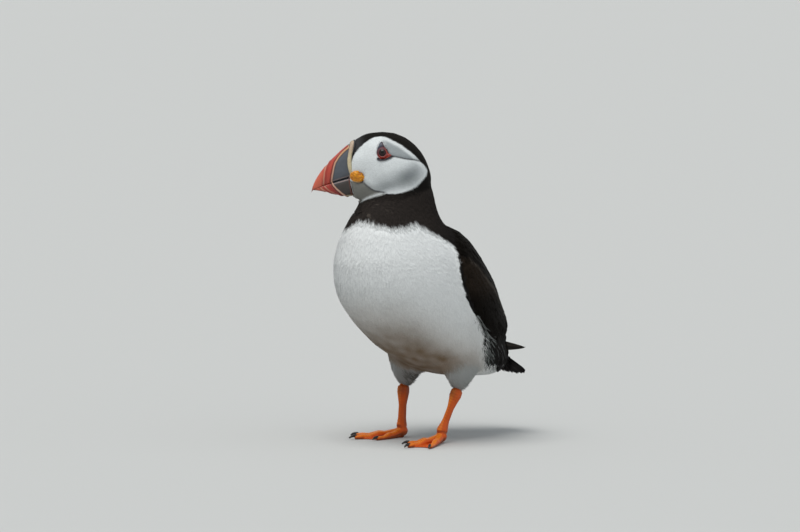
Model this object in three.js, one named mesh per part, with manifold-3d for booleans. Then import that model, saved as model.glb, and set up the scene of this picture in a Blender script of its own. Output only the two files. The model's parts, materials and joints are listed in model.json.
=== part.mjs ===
// Atlantic puffin, standing, life size. Millimetres, +Z up, the bird's breast towards -Y and
// its left side towards +X. The head is turned to the bird's right. Every outer size includes
// the plumage, out to the tips of the feathers.
import * as THREE from "three";
import { mergeVertices } from "three/addons/utils/BufferGeometryUtils.js";
import Module from "manifold-3d";

const wasm = await Module();
wasm.setup();

// ---------------------------------------------------------------- driving dimensions
const GAP = 0.3; // clearance between neighbouring solids
const DEGREE = Math.PI / 180;

// Spine of trunk and neck, from the tail root up into the head: x, y, z of the centre, then half
// width, reach to the back and reach to the belly. The neck turns with the head, to the right.
const BODY = [
  { x: 0, y: 87.5, z: 47, half: 9, back: 2.5, front: 2.5, turn: 0 },
  { x: 0, y: 77.5, z: 52, half: 19.5, back: 8, front: 9, turn: 0 },
  { x: 0, y: 64, z: 60, half: 29, back: 16, front: 17, turn: 0 },
  { x: 0, y: 46, z: 70, half: 39, back: 29, front: 27, turn: 0 },
  { x: 0, y: 23, z: 84, half: 46.5, back: 41, front: 36.5, turn: 0 },
  { x: 0, y: 4, z: 105, half: 49, back: 44, front: 47.5, turn: 0 },
  { x: 0, y: -8, z: 129, half: 47, back: 43, front: 57, turn: 0 },
  { x: 0, y: -16, z: 149, half: 39, back: 36, front: 53, turn: 0 },
  { x: 0, y: -19, z: 164, half: 30, back: 33, front: 37, turn: 8 },
  { x: -0.5, y: -20, z: 177, half: 24.5, back: 31, front: 27, turn: 24 },
  { x: -2, y: -23, z: 188, half: 19, back: 30.5, front: 20, turn: 40 },
  { x: -5, y: -27, z: 197, half: 6, back: 10, front: 7, turn: 40 },
];
const BELLY_FULLNESS = 2.1; // exponent of the section: 2 is an ellipse, more is fuller
const BACK_FULLNESS = 2.4;
const COLLAR = [[-80, 161], [40, 168]]; // line that parts the neck from the trunk: y, z
// Line, seen from the side, that parts the dark back and rump from the white belly: y, z.
const FLANK = [[-4, 160], [48, 70], [88, 45.5]];

// Head, in its own frame: forward along the gape line, up, and left.
const HEAD = { y: -21.6, z: 205.5, turn: 40, nod: 20 };
const SKULL = [
  { forward: -25, top: -6, bottom: -15, half: 4, cheek: -10 },
  { forward: -23.5, top: 2, bottom: -22, half: 10, cheek: -9 },
  { forward: -19.5, top: 11, bottom: -26, half: 15.5, cheek: -7 },
  { forward: -13, top: 18.8, bottom: -27, half: 19.5, cheek: -5 },
  { forward: -4, top: 24.2, bottom: -26, half: 21.5, cheek: -4 },
  { forward: 6, top: 27, bottom: -23, half: 21, cheek: -3 },
  { forward: 14, top: 28, bottom: -21, half: 18.2, cheek: -2 },
  { forward: 21, top: 27.4, bottom: -19.5, half: 14.2, cheek: -1 },
  { forward: 27, top: 24.4, bottom: -18, half: 10.6, cheek: 0 },
  { forward: 32, top: 18, bottom: -15.5, half: 8, cheek: 0 },
  { forward: 35.5, top: 8, bottom: -12, half: 4, cheek: 0 },
];
const SKULL_FULLNESS = 2.1;
// The black crown is the strip this far either side of the middle, above a line: -forward, up.
const CROWN = { half: 10.5, line: [[-30, 20], [26, -34]] };

// Bill, in the head's frame. Each pair is forward, up.
const BILL = {
  culmen: [[23.6, 24.9], [37, 20.2], [56, 12.4], [61.8, 0.4]],
  gape: [[31.5, 1.8], [40, 2.2], [52, 3.2], [60.4, 2]],
  gonys: [[34.6, -12], [42, -11.2], [49.5, -3], [59, 1.4]],
  baseForward: 33.5, // the feather line bows forward to here
  baseUp: -8,
  baseBow: 0.0095,
  half: 7.6,
  tipHalf: 0.8,
};
const CERE = { width: 3.4, proud: 0.7 };
const SEAT = { ahead: 2.6, behind: 5.4, inset: 0.8 }; // flesh that carries the bill's root
const ROSETTE = { forward: 24.6, up: -0.4, long: 5.4, tall: 4, thick: 3, tilt: 12, sunk: 0.6 };
const EYE = { forward: 2.2, up: 11.5, radius: 4.2, sunk: 2.6, ring: 2.95, rim: 0.75 };
// Horny plates over and under the eye: each outline is in half widths (backwards) and half heights.
const UPPER_PLATE = {
  forward: 1.6,
  up: 17.6,
  wide: 2,
  tall: 3.4,
  thick: 1,
  outline: [[-1, -1], [1, -1], [0.4, 1], [-0.2, 1]],
};
const LOWER_PLATE = {
  forward: 1,
  up: 5.6,
  wide: 4,
  tall: 1.3,
  thick: 1,
  outline: [[-1, 0.1], [-0.6, -1], [0.7, -1], [1, 1], [-1, 1]],
};
const BEVEL = 0.3;

// Folded wing, lying on the body: the place on the spine counted in rows of BODY, the angle round
// from the bird's side towards its back, half the angle that the wing spans, and its thickness.
const WING = [
  { row: 7.1, angle: 52, half: 5, thick: 1.5 },
  { row: 6.6, angle: 48, half: 20, thick: 3.5 },
  { row: 6, angle: 46, half: 31, thick: 5 },
  { row: 5.2, angle: 44, half: 36, thick: 6.5 },
  { row: 4.5, angle: 43, half: 36, thick: 7 },
  { row: 3.9, angle: 42, half: 37, thick: 7.5 },
  { row: 3.3, angle: 40, half: 34, thick: 7 },
  { row: 2.9, angle: 42, half: 27, thick: 6 },
  { row: 2.6, angle: 46, half: 19, thick: 5 },
  { row: 2.3, angle: 50, half: 10, thick: 3.5 },
  { row: 2.1, angle: 53, half: 3, thick: 2 },
];
// Tips of the flight feathers past the wing: middle line, half width and half thickness.
const WING_TIP = [
  { x: 29, y: 50, z: 89, half: 8, thick: 2 },
  { x: 23, y: 64, z: 80, half: 9, thick: 2 },
  { x: 16.5, y: 78, z: 72.5, half: 7, thick: 1.6 },
  { x: 11, y: 90, z: 66.5, half: 4.2, thick: 1.1 },
  { x: 8.5, y: 98, z: 63, half: 1.4, thick: 0.5 },
];

// Tail fan, in the bird's frame: it slopes down and back from its root.
const TAIL = {
  y: 54,
  z: 74,
  slope: 34,
  length: 54,
  rootHalf: 11,
  tipHalf: 20,
  rootThick: 1.65,
  tipThick: 0.65,
  cup: 0.006, // droop of the outer feathers, per millimetre squared
  rounding: 5,
};

// Legs: heel joint, toe root, and which way the foot points, outwards from straight ahead.
const LEGS = {
  left: { side: 1, hip: [24.5, 26, 64], heel: [25.5, 20, 37], root: [23, 7, 7], toeOut: 8 },
  right: { side: -1, hip: [-23.5, 15, 64], heel: [-24.5, 11, 36.5], root: [-22.5, 7.5, 7], toeOut: 17 },
};
// Limbs by share of the way down from the upper joint to the lower one: half sizes fore-aft and sideways.
const SHANK = [
  { share: -0.12, deep: 2.9, wide: 2.1 },
  { share: 0, deep: 5.2, wide: 3.9 },
  { share: 0.25, deep: 4.3, wide: 3 },
  { share: 0.65, deep: 4, wide: 2.7 },
  { share: 0.9, deep: 4.6, wide: 3.6 },
  { share: 1, deep: 3.4, wide: 3.2 },
];
const THIGH = [
  { share: 0, deep: 17, wide: 13.5 },
  { share: 0.45, deep: 13.3, wide: 11.6 },
  { share: 0.7, deep: 9.3, wide: 8.3 },
  { share: 0.9, deep: 6.4, wide: 5.8 },
];
// Toes by side of the foot: angle outwards from the foot's own direction, length and half thickness.
const TOES = {
  inner: { out: -24, length: 27, root: 2.9, tip: 1.7, claw: 6.5 },
  middle: { out: 2, length: 37, root: 3.2, tip: 1.9, claw: 7 },
  outer: { out: 28, length: 34, root: 3, tip: 1.8, claw: 6 },
};
const KNUCKLE = 4.2;
const WEB = { thick: 1.1, reach: 0.94, notch: 0.8 };
// How many facets each kind of surface has: along it and round it.
const FACETS = {
  body: [19, 22],
  skull: [12, 18],
  bill: [9, 14],
  cere: [3, 14],
  wing: [12, 18],
  wingTip: [6, 8],
  tail: [5, 20],
  shank: [6, 8],
  thigh: [5, 12],
  toe: [6, 6],
  claw: [4, 6],
  ball: [10, 6],
  ring: [5, 12],
};

const COLOURS = {
  white: 0xe6e8e6,
  black: 0x17151a,
  brownBlack: 0x1f1916,
  face: 0xc9cdcc,
  orange: 0xd9560f,
  claw: 0x241d1a,
  billRed: 0xcf4a2b,
  slate: 0x4c5258,
  cream: 0xcdbf97,
  rosette: 0xe29a12,
  eye: 0x1b1613,
  ring: 0xa8281c,
};

// ---------------------------------------------------------------- shape helpers
const rounded = (value, fullness) => Math.sign(value) * Math.abs(value) ** (2 / fullness);

/** Closed surface through rings of points, with a fan over each end. */
function loft(rings) {
  const sides = rings[0].length;
  const points = rings.flat();
  const middle = (ring) => ring.reduce((sum, p) => sum.add(p), new THREE.Vector3()).divideScalar(sides);
  const firstCap = points.push(middle(rings[0])) - 1;
  const lastCap = points.push(middle(rings.at(-1))) - 1;
  const lastRing = (rings.length - 1) * sides;
  const faces = [];
  for (let i = 0; i < sides; i++) {
    const next = (i + 1) % sides;
    faces.push(firstCap, next, i, lastCap, lastRing + i, lastRing + next);
    for (let base = 0; base < lastRing; base += sides) {
      faces.push(base + i, base + next, base + sides + next);
      faces.push(base + i, base + sides + next, base + sides + i);
    }
  }
  return new THREE.BufferGeometry().setFromPoints(points).setIndex(faces);
}

/** Solid whose surface is a function of the share along it and the angle round it. */
function swept([lengths, sides], pointAt) {
  const rings = [];
  for (let k = 0; k <= lengths; k++) {
    const ring = [];
    for (let i = 0; i < sides; i++) ring.push(pointAt(k / lengths, (i / sides) * 2 * Math.PI));
    rings.push(ring);
  }
  return solid(loft(rings));
}

/** Smooth curve through one triple of values taken from each row of a table. */
function through(rows, pick) {
  const points = rows.map((row) => new THREE.Vector3(...pick(row)));
  return new THREE.CatmullRomCurve3(points, false, "catmullrom", 0.5);
}

/** A three.js geometry as a solid that can be joined and cut, facing outwards. */
function solid(geometry) {
  const plain = geometry.clone();
  plain.deleteAttribute("normal");
  plain.deleteAttribute("uv");
  const merged = mergeVertices(plain, 1e-4);
  const corners = new Uint32Array(merged.index.array);
  const make = () =>
    new wasm.Manifold(
      new wasm.Mesh({ numProp: 3, vertProperties: merged.attributes.position.array, triVerts: corners }),
    );
  const made = make();
  if (made.volume() > 0) return made;
  for (let i = 0; i < corners.length; i += 3) [corners[i], corners[i + 1]] = [corners[i + 1], corners[i]];
  return make();
}

/** The largest of the bodies that a cut leaves. */
function biggest(cutSolid) {
  return cutSolid.decompose().reduce((best, body) => (body.volume() > best.volume() ? body : best));
}

/** A solid as a named mesh with its own finish. */
function piece(name, made, colour, roughness = 0.8) {
  const mesh = made.getMesh();
  const positions = new THREE.BufferAttribute(mesh.vertProperties, 3);
  const geometry = new THREE.BufferGeometry().setAttribute("position", positions);
  geometry.setIndex(new THREE.BufferAttribute(mesh.triVerts, 1)).computeVertexNormals();
  const material = new THREE.MeshStandardMaterial({ color: colour, roughness, metalness: 0 });
  const named = new THREE.Mesh(geometry, material);
  named.name = name;
  return named;
}

/** A solid moved by a matrix. */
const moved = (made, matrix) => made.transform(matrix.elements);

/** A solid's mirror image across the bird's middle plane. */
const mirrored = (made) => made.mirror([1, 0, 0]);

// ---------------------------------------------------------------- trunk and neck
const spine = through(BODY, (row) => [row.x, row.y, row.z]);
const girth = through(BODY, (row) => [row.half, row.back, row.front]);
const twist = through(BODY, (row) => [row.turn, 0, 0]);

/** Point on the plumage: the share along the spine, then the angle from the left side towards the back. */
function bodyPoint(along, angle, grow) {
  const reach = girth.getPoint(along);
  const turn = twist.getPoint(along).x * DEGREE;
  const run = spine.getTangent(along);
  const side = new THREE.Vector3(Math.cos(turn), -Math.sin(turn), 0);
  side.addScaledVector(run, -side.dot(run)).normalize();
  const backwards = new THREE.Vector3().crossVectors(run, side);
  const behind = Math.sin(angle) > 0;
  const fullness = behind ? BACK_FULLNESS : BELLY_FULLNESS;
  const depth = (behind ? reach.y : reach.z) + grow;
  return spine
    .getPoint(along)
    .addScaledVector(side, (reach.x + grow) * rounded(Math.cos(angle), fullness))
    .addScaledVector(backwards, depth * rounded(Math.sin(angle), fullness));
}

const bodySolid = (grow = 0) => swept(FACETS.body, (v, angle) => bodyPoint(v, angle, grow));

/** Everything above a line drawn in the middle plane and run out sideways, shifted up by a lift. */
function above(line, lift, half = 100) {
  let block = solid(new THREE.BoxGeometry(2 * half, 600, 600));
  for (let i = 1; i < line.length; i++) {
    const [[fromY, fromZ], [toY, toZ]] = [line[i - 1], line[i]];
    const up = new THREE.Vector3(0, fromZ - toZ, toY - fromY).normalize();
    block = block.trimByPlane(up.toArray(), up.y * toY + up.z * toZ + lift);
  }
  return block;
}

// ---------------------------------------------------------------- head, in its own frame
/** A point of the head's frame from how far forward, left and up it lies. */
const headPoint = (forward, left, up) => new THREE.Vector3(left, -forward, up);

const skullLine = through(SKULL, (row) => [row.forward, row.half, row.cheek]);
const skullRise = through(SKULL, (row) => [row.top, row.bottom, 0]);

function skullPoint(along, angle, grow) {
  const line = skullLine.getPoint(along);
  const rise = skullRise.getPoint(along);
  const reach = Math.sin(angle) > 0 ? rise.x - line.z : line.z - rise.y;
  const left = (line.y + grow) * rounded(Math.cos(angle), SKULL_FULLNESS);
  const up = line.z + (reach + grow) * rounded(Math.sin(angle), SKULL_FULLNESS);
  return headPoint(line.x + grow * (2 * along - 1), left, up);
}

const skullSolid = (grow = 0) => swept(FACETS.skull, (v, angle) => skullPoint(v, angle, grow));

/** Where the left side of the head lies at a place seen from the side, and which way it faces. */
function cheekAt(forward, up) {
  const sideAt = (f, u) => {
    let low = 0;
    let high = 1;
    for (let step = 0; step < 30; step++) {
      const half = (low + high) / 2;
      if (skullLine.getPoint(half).x < f) low = half;
      else high = half;
    }
    const line = skullLine.getPoint(low);
    const rise = skullRise.getPoint(low);
    const reach = u > line.z ? rise.x - line.z : line.z - rise.y;
    const share = Math.min(1, Math.abs(u - line.z) / reach);
    return line.y * (1 - share ** SKULL_FULLNESS) ** (1 / SKULL_FULLNESS);
  };
  const here = sideAt(forward, up);
  const step = 0.5;
  const slopeForward = (sideAt(forward + step, up) - sideAt(forward - step, up)) / (2 * step);
  const slopeUp = (sideAt(forward, up + step) - sideAt(forward, up - step)) / (2 * step);
  const facing = headPoint(-slopeForward, 1, -slopeUp).normalize();
  return { point: headPoint(forward, here, up), facing };
}

/** Matrix that sets a piece, modelled lying in XY with +Y up the face, on the left side of the head. */
function onCheek({ forward, up, sunk = 0, tilt = 0 }) {
  const { point, facing } = cheekAt(forward, up);
  const upwards = new THREE.Vector3(0, 0, 1).addScaledVector(facing, -facing.z).normalize();
  const across = new THREE.Vector3().crossVectors(upwards, facing);
  return new THREE.Matrix4()
    .makeBasis(across, upwards, facing)
    .setPosition(point.addScaledVector(facing, -sunk))
    .multiply(new THREE.Matrix4().makeRotationZ(tilt * DEGREE));
}

// ---------------------------------------------------------------- bill
const bezier = (pairs) => new THREE.CubicBezierCurve(...pairs.map(([f, u]) => new THREE.Vector2(f, u)));
const culmen = bezier(BILL.culmen);
const gape = bezier(BILL.gape);
const gonys = bezier(BILL.gonys);
const baseAt = (up) => BILL.baseForward - BILL.baseBow * (up - BILL.baseUp) ** 2;

/**
 * Point on a mandible, in slices from the root (share 0) to the tip (share 1). The angle runs from
 * the gape line round over the outer edge. The root can be set back, and the gape side cut back.
 */
function billPoint(edge, share, angle, { grow = 0, setBack = 0, gapeCut = 0 }) {
  const rim = edge.getPoint(share);
  const mouth = gape.getPoint(share);
  const outwards = edge === culmen ? 1 : -1;
  const height = (1 - Math.cos(angle)) / 2; // 0 at the gape, 1 at the edge
  const squareness = height < 0.5 ? 0.35 : 0.75;
  const flank = Math.abs(Math.sin(angle)) ** squareness * (1 - 0.22 * height);
  const half = BILL.half * (1 - share) ** 0.8 + BILL.tipHalf;
  const left = Math.sign(Math.sin(angle)) * (half * flank + grow);
  const cut = THREE.MathUtils.lerp(gapeCut - grow, grow, height);
  const up = THREE.MathUtils.lerp(mouth.y, rim.y, height) + outwards * cut;
  const forward = THREE.MathUtils.lerp(mouth.x, rim.x, height);
  const bow = 8.8 * height * (1 - height) * Math.sin(Math.PI * Math.min(1, share * 1.2));
  const root = Math.min(forward, baseAt(up)) - setBack;
  return headPoint(share === 0 ? root : forward + bow + (share > 0.9 ? grow : 0), left, up);
}

const mandible = (edge, shape) => swept(FACETS.bill, (v, angle) => billPoint(edge, v, angle, shape));

/** Raised horny band round the root of the upper mandible. */
function cereSolid(grow = 0) {
  return swept(FACETS.cere, (v, angle) => {
    const setBack = GAP + v * CERE.width + grow * (2 * v - 1);
    const proud = CERE.proud * Math.sin(Math.PI * v);
    return billPoint(culmen, 0, angle, { grow: proud + grow, setBack, gapeCut: GAP });
  });
}

/** Filled block behind the bill's root, so that the head meets the bill in the bill's own outline. */
function billSeat(edge) {
  return swept([1, FACETS.bill[1]], (v, angle) => {
    const setBack = THREE.MathUtils.lerp(SEAT.behind, -SEAT.ahead, v);
    return billPoint(edge, 0, angle, { grow: -SEAT.inset, setBack });
  });
}

/** The space that both mandibles and the cere take out of the head. */
function billSpace() {
  const shape = { grow: GAP, setBack: GAP };
  return mandible(culmen, shape).add(mandible(gonys, shape)).add(cereSolid(GAP));
}

// ---------------------------------------------------------------- face fittings, left side
const ball = (radius) => new THREE.SphereGeometry(radius, ...FACETS.ball);

const eyeSolid = (grow = 0) => moved(solid(ball(EYE.radius + grow)), onCheek(EYE));

function ringSolid(grow = 0) {
  const ring = new THREE.TorusGeometry(EYE.ring, EYE.rim + grow, ...FACETS.ring);
  return moved(solid(ring), onCheek({ ...EYE, sunk: -EYE.rim / 2 }));
}

/** Flat horny plate on the face, with bevelled edges, from its outline in half widths and half heights. */
function plateSolid(plate, grow = 0) {
  const size = new THREE.Vector2(plate.wide, plate.tall);
  const corners = plate.outline.map((pair) => new THREE.Vector2(...pair).multiply(size));
  const outline = new THREE.Shape(corners.map((corner) => corner.setLength(corner.length() + grow)));
  const body = new THREE.ExtrudeGeometry(outline, {
    depth: plate.thick + 2 * grow,
    bevelSize: BEVEL,
    bevelOffset: -BEVEL,
    bevelThickness: BEVEL,
    bevelSegments: 1,
  });
  return moved(solid(body.translate(0, 0, -plate.thick / 2 - grow)), onCheek(plate));
}

const rosetteSolid = (grow = 0) => {
  const { long, tall, thick } = ROSETTE;
  return moved(solid(ball(1).scale(long + grow, tall + grow, thick + grow)), onCheek(ROSETTE));
};

// ---------------------------------------------------------------- wing, left side
const wingCourse = through(WING, (row) => [row.row / (BODY.length - 1), row.angle, row.half]);
const wingThick = through(WING, (row) => [row.thick, 0, 0]);

/** The wing wraps the body: its rim just clears it, and its inner side is cut to it later. */
function wingSolid(grow = 0) {
  const wingPoint = (v, angle) => {
    const { x: along, y: middle, z: half } = wingCourse.getPoint(v);
    const around = (middle + (half + 2 * grow) * rounded(Math.cos(angle), 2.3)) * DEGREE;
    const thick = Math.sin(angle) > 0 ? wingThick.getPoint(v).x : 2;
    const lift = 3 * GAP + (thick + grow) * rounded(Math.sin(angle), 2.8);
    return bodyPoint(along + 0.006 * grow * (1 - 2 * v), around, lift);
  };
  return swept(FACETS.wing, wingPoint);
}

/** Flat lens-shaped blade along a curve. */
function wingTipSolid() {
  const line = through(WING_TIP, (row) => [row.x, row.y, row.z]);
  const size = through(WING_TIP, (row) => [row.half, row.thick, 0]);
  return swept(FACETS.wingTip, (v, angle) => {
    const run = line.getTangent(v);
    const aside = new THREE.Vector3(-1, 0.6, 0); // the blade faces out and up
    aside.addScaledVector(run, -run.dot(aside)).normalize();
    const out = new THREE.Vector3().crossVectors(aside, run);
    const { x: half, y: thick } = size.getPoint(v);
    return line
      .getPoint(v)
      .addScaledVector(aside, half * Math.cos(angle))
      .addScaledVector(out, thick * Math.sin(angle));
  });
}

// ---------------------------------------------------------------- tail
function tailSolid() {
  const slope = TAIL.slope * DEGREE;
  const run = new THREE.Vector3(0, Math.cos(slope), -Math.sin(slope));
  const up = new THREE.Vector3(0, Math.sin(slope), Math.cos(slope));
  return swept(FACETS.tail, (v, angle) => {
    const half = THREE.MathUtils.lerp(TAIL.rootHalf, TAIL.tipHalf, Math.sin((v * Math.PI) / 2));
    const across = half * Math.cos(angle);
    const along = v * (TAIL.length - TAIL.rounding * Math.cos(angle) ** 2);
    const thick = THREE.MathUtils.lerp(TAIL.rootThick, TAIL.tipThick, v) * rounded(Math.sin(angle), 3);
    const middle = new THREE.Vector3(across, TAIL.y, TAIL.z).addScaledVector(run, along);
    return middle.addScaledVector(up, thick - TAIL.cup * across ** 2);
  });
}

// ---------------------------------------------------------------- legs and feet
const mix = (a, b, share) => a.map((value, i) => THREE.MathUtils.lerp(value, b[i], share));

/** Tapering limb with an oval section: each row is a point, then half sizes fore-aft and sideways. */
function limb(rows, facets, grow) {
  const line = through(rows, (row) => row.at);
  const size = through(rows, (row) => [row.deep, row.wide, 0]);
  return swept(facets, (v, angle) => {
    const run = line.getTangent(v);
    const aside = new THREE.Vector3(1, 0, 0).addScaledVector(run, -run.x).normalize();
    const ahead = new THREE.Vector3().crossVectors(aside, run);
    const { x: deep, y: wide } = size.getPoint(v);
    return line
      .getPoint(v)
      .addScaledVector(aside, (wide + grow) * Math.cos(angle))
      .addScaledVector(ahead, (deep + grow) * Math.sin(angle))
      .addScaledVector(run, grow * (2 * v - 1));
  });
}

/** Limb between two joints, from a table of sizes by share of the way. */
function between(upper, lower, table, facets, grow) {
  const rows = table.map((row) => ({ ...row, at: mix(upper, lower, row.share) }));
  return limb(rows, facets, grow);
}

const shankSolid = (leg, grow = 0) => between(leg.heel, leg.root, SHANK, FACETS.shank, grow);
const thighSolid = (leg, grow = 0) => between(leg.hip, leg.heel, THIGH, FACETS.thigh, grow);

/** End of a toe, in the foot's frame: the foot points to -Y and its outer side is towards side * X. */
function toeTip(toe, side, length = toe.length) {
  const turn = toe.out * DEGREE * side;
  return [Math.sin(turn) * length, -Math.cos(turn) * length];
}

/** Toe with its knuckle bulges, from the height of the toe root down to the floor. */
function toeSolid(toe, side, rootHeight, grow) {
  const [x, y] = toeTip(toe, side);
  const row = (share, height, size) => ({ at: [x * share, y * share, height], deep: size, wide: size });
  const rows = [
    row(-0.06, rootHeight * 0.8, toe.root),
    row(0.06, rootHeight * 0.62, toe.root),
    row(0.36, toe.root * 0.82, toe.root * 0.83),
    row(0.5, toe.root * 0.84, toe.root * 0.92),
    row(0.72, toe.tip * 0.8, toe.tip * 0.95),
    row(0.86, toe.tip * 0.85, toe.tip * 1.05),
    row(1, toe.tip * 0.8, toe.tip * 0.78),
  ];
  return limb(rows, FACETS.toe, grow);
}

function webSolid(side, grow) {
  const ends = Object.values(TOES).map((toe) => toeTip(toe, side, toe.length * WEB.reach));
  const outline = new THREE.Shape().moveTo(0, 2).lineTo(...ends[0]);
  for (let i = 1; i < ends.length; i++) {
    const dip = mix(ends[i - 1], ends[i], 0.5).map((value) => value * WEB.notch);
    outline.quadraticCurveTo(...dip, ...ends[i]);
  }
  outline.closePath();
  return solid(
    new THREE.ExtrudeGeometry(outline, { depth: WEB.thick + grow, bevelEnabled: false, curveSegments: 5 }),
  );
}

function footSolid(leg, grow = 0) {
  const [, , rootHeight] = leg.root;
  const knuckle = ball(KNUCKLE + grow).translate(0, 0.5, rootHeight - KNUCKLE / 2);
  let foot = webSolid(leg.side, grow).add(solid(knuckle));
  for (const toe of Object.values(TOES)) foot = foot.add(toeSolid(toe, leg.side, rootHeight, grow));
  return foot.trimByPlane([0, 0, 1], 0); // flat sole on the floor
}

/** Down-curved claw, from inside the toe's end. */
function clawSolid(toe, side) {
  const row = (reach, height, deep, wide) => {
    const [x, y] = toeTip(toe, side, toe.length + reach);
    return { at: [x, y, height], deep, wide };
  };
  const rows = [
    row(-2.6, toe.tip * 1.15, 1.2, 1),
    row(0.4, toe.tip * 1.45, 1.45, 1.15),
    row(toe.claw * 0.55, toe.tip * 1.1, 1, 0.8),
    row(toe.claw * 0.85, 0.75, 0.5, 0.45),
  ];
  return limb(rows, FACETS.claw, 0).trimByPlane([0, 0, 1], 0);
}

// ---------------------------------------------------------------- the bird
const bird = new THREE.Group();
const headGroup = new THREE.Group();
headGroup.position.set(0, HEAD.y, HEAD.z);
headGroup.rotation.set(HEAD.nod * DEGREE, 0, -HEAD.turn * DEGREE, "ZXY");
headGroup.updateMatrix();
bird.add(headGroup);

/** Adds the left and right copies of a piece that is modelled on the left. */
function addPair(group, name, made, colour, roughness) {
  group.add(piece(name + "_left", made, colour, roughness));
  group.add(piece(name + "_right", mirrored(made), colour, roughness));
}

const billRoom = billSpace();
const eyeRoom = eyeSolid(GAP);
const eyeFrame = eyeRoom.add(ringSolid(GAP));
addPair(headGroup, "eye", eyeSolid(), COLOURS.eye, 0.1);
addPair(headGroup, "eye_ring", ringSolid().subtract(eyeRoom), COLOURS.ring, 0.5);
for (const [name, plate] of [["upper", UPPER_PLATE], ["lower", LOWER_PLATE]]) {
  const clear = biggest(plateSolid(plate).subtract(eyeFrame));
  addPair(headGroup, "eye_plate_" + name, clear, COLOURS.slate, 0.5);
}
addPair(headGroup, "gape_rosette", biggest(rosetteSolid().subtract(billRoom)), COLOURS.rosette, 0.6);
headGroup.add(piece("bill_upper", mandible(culmen, { gapeCut: GAP / 2 }), COLOURS.billRed, 0.4));
headGroup.add(piece("bill_lower", mandible(gonys, { gapeCut: GAP / 2 }), COLOURS.billRed, 0.4));
headGroup.add(piece("cere", cereSolid(), COLOURS.cream, 0.6));

const plateRoom = plateSolid(UPPER_PLATE, GAP).add(plateSolid(LOWER_PLATE, GAP));
const faceRoom = eyeFrame.add(plateRoom).add(rosetteSolid(GAP));
let skull = skullSolid().add(billSeat(culmen)).add(billSeat(gonys));
skull = skull.subtract(billRoom).subtract(faceRoom).subtract(mirrored(faceRoom));
const crown = skull.intersect(above(CROWN.line, GAP / 2, CROWN.half - GAP / 2));
const head = skull.subtract(above(CROWN.line, -GAP / 2, CROWN.half + GAP / 2));
headGroup.add(piece("crown", biggest(crown), COLOURS.black));
headGroup.add(piece("head", biggest(head), COLOURS.face));

const headRoom = moved(skullSolid(GAP).add(billRoom), headGroup.matrix);
const bodyRoom = bodySolid(GAP);
const neck = bodySolid().intersect(above(COLLAR, GAP / 2)).subtract(headRoom);
const belowCollar = bodySolid().subtract(above(COLLAR, -GAP / 2));
const back = belowCollar.intersect(above(FLANK, GAP / 2));
const trunk = belowCollar.subtract(above(FLANK, -GAP / 2));
bird.add(piece("neck", biggest(neck), COLOURS.black));
bird.add(piece("back", biggest(back), COLOURS.black));
bird.add(piece("trunk", biggest(trunk), COLOURS.white));

const wingTip = wingTipSolid().subtract(wingSolid(2 * GAP)).subtract(bodyRoom);
addPair(bird, "wing", biggest(wingSolid().subtract(bodyRoom)), COLOURS.brownBlack, 0.8);
addPair(bird, "wing_tip", biggest(wingTip), COLOURS.brownBlack, 0.7);
bird.add(piece("tail", biggest(tailSolid().subtract(bodyRoom)), COLOURS.black));

for (const [side, leg] of Object.entries(LEGS)) {
  const footGroup = new THREE.Group();
  footGroup.position.set(leg.root[0], leg.root[1], 0);
  footGroup.rotation.z = leg.toeOut * DEGREE * leg.side;
  footGroup.updateMatrix();
  const footRoom = footSolid(leg, GAP);
  footGroup.add(piece("foot_" + side, footSolid(leg), COLOURS.orange, 0.5));
  for (const [name, toe] of Object.entries(TOES)) {
    const claw = biggest(clawSolid(toe, leg.side).subtract(footRoom));
    footGroup.add(piece("claw_" + name + "_" + side, claw, COLOURS.claw, 0.4));
  }
  bird.add(footGroup);
  const shank = biggest(shankSolid(leg).subtract(moved(footRoom, footGroup.matrix)));
  bird.add(piece("shank_" + side, shank, COLOURS.orange, 0.5));
  const thigh = biggest(thighSolid(leg).subtract(bodyRoom).subtract(shankSolid(leg, GAP)));
  bird.add(piece("thigh_" + side, thigh, COLOURS.white));
}

// The origin is the middle of the model's box, at floor level.
const box = new THREE.Box3().setFromObject(bird, true);
bird.position.set(-(box.min.x + box.max.x) / 2, -(box.min.y + box.max.y) / 2, -box.min.z);

const puffin = new THREE.Group();
puffin.add(bird);
export default puffin;
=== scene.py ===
# %% [markdown]
# # An Atlantic puffin, still and life size
# The bird stands on a pale floor with its head turned to its right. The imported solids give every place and
# outline. This script lays a skin inside them, then feathers over the skin, and makes the bill, the eyes and
# the feet in detail. Lengths are written in millimetres and multiplied by MM, because Blender works in metres.

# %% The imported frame
import json
import math
from collections import namedtuple
from functools import partial

import bpy
import numpy as np
from mathutils import Matrix, Vector
from mathutils.bvhtree import BVHTree

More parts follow.
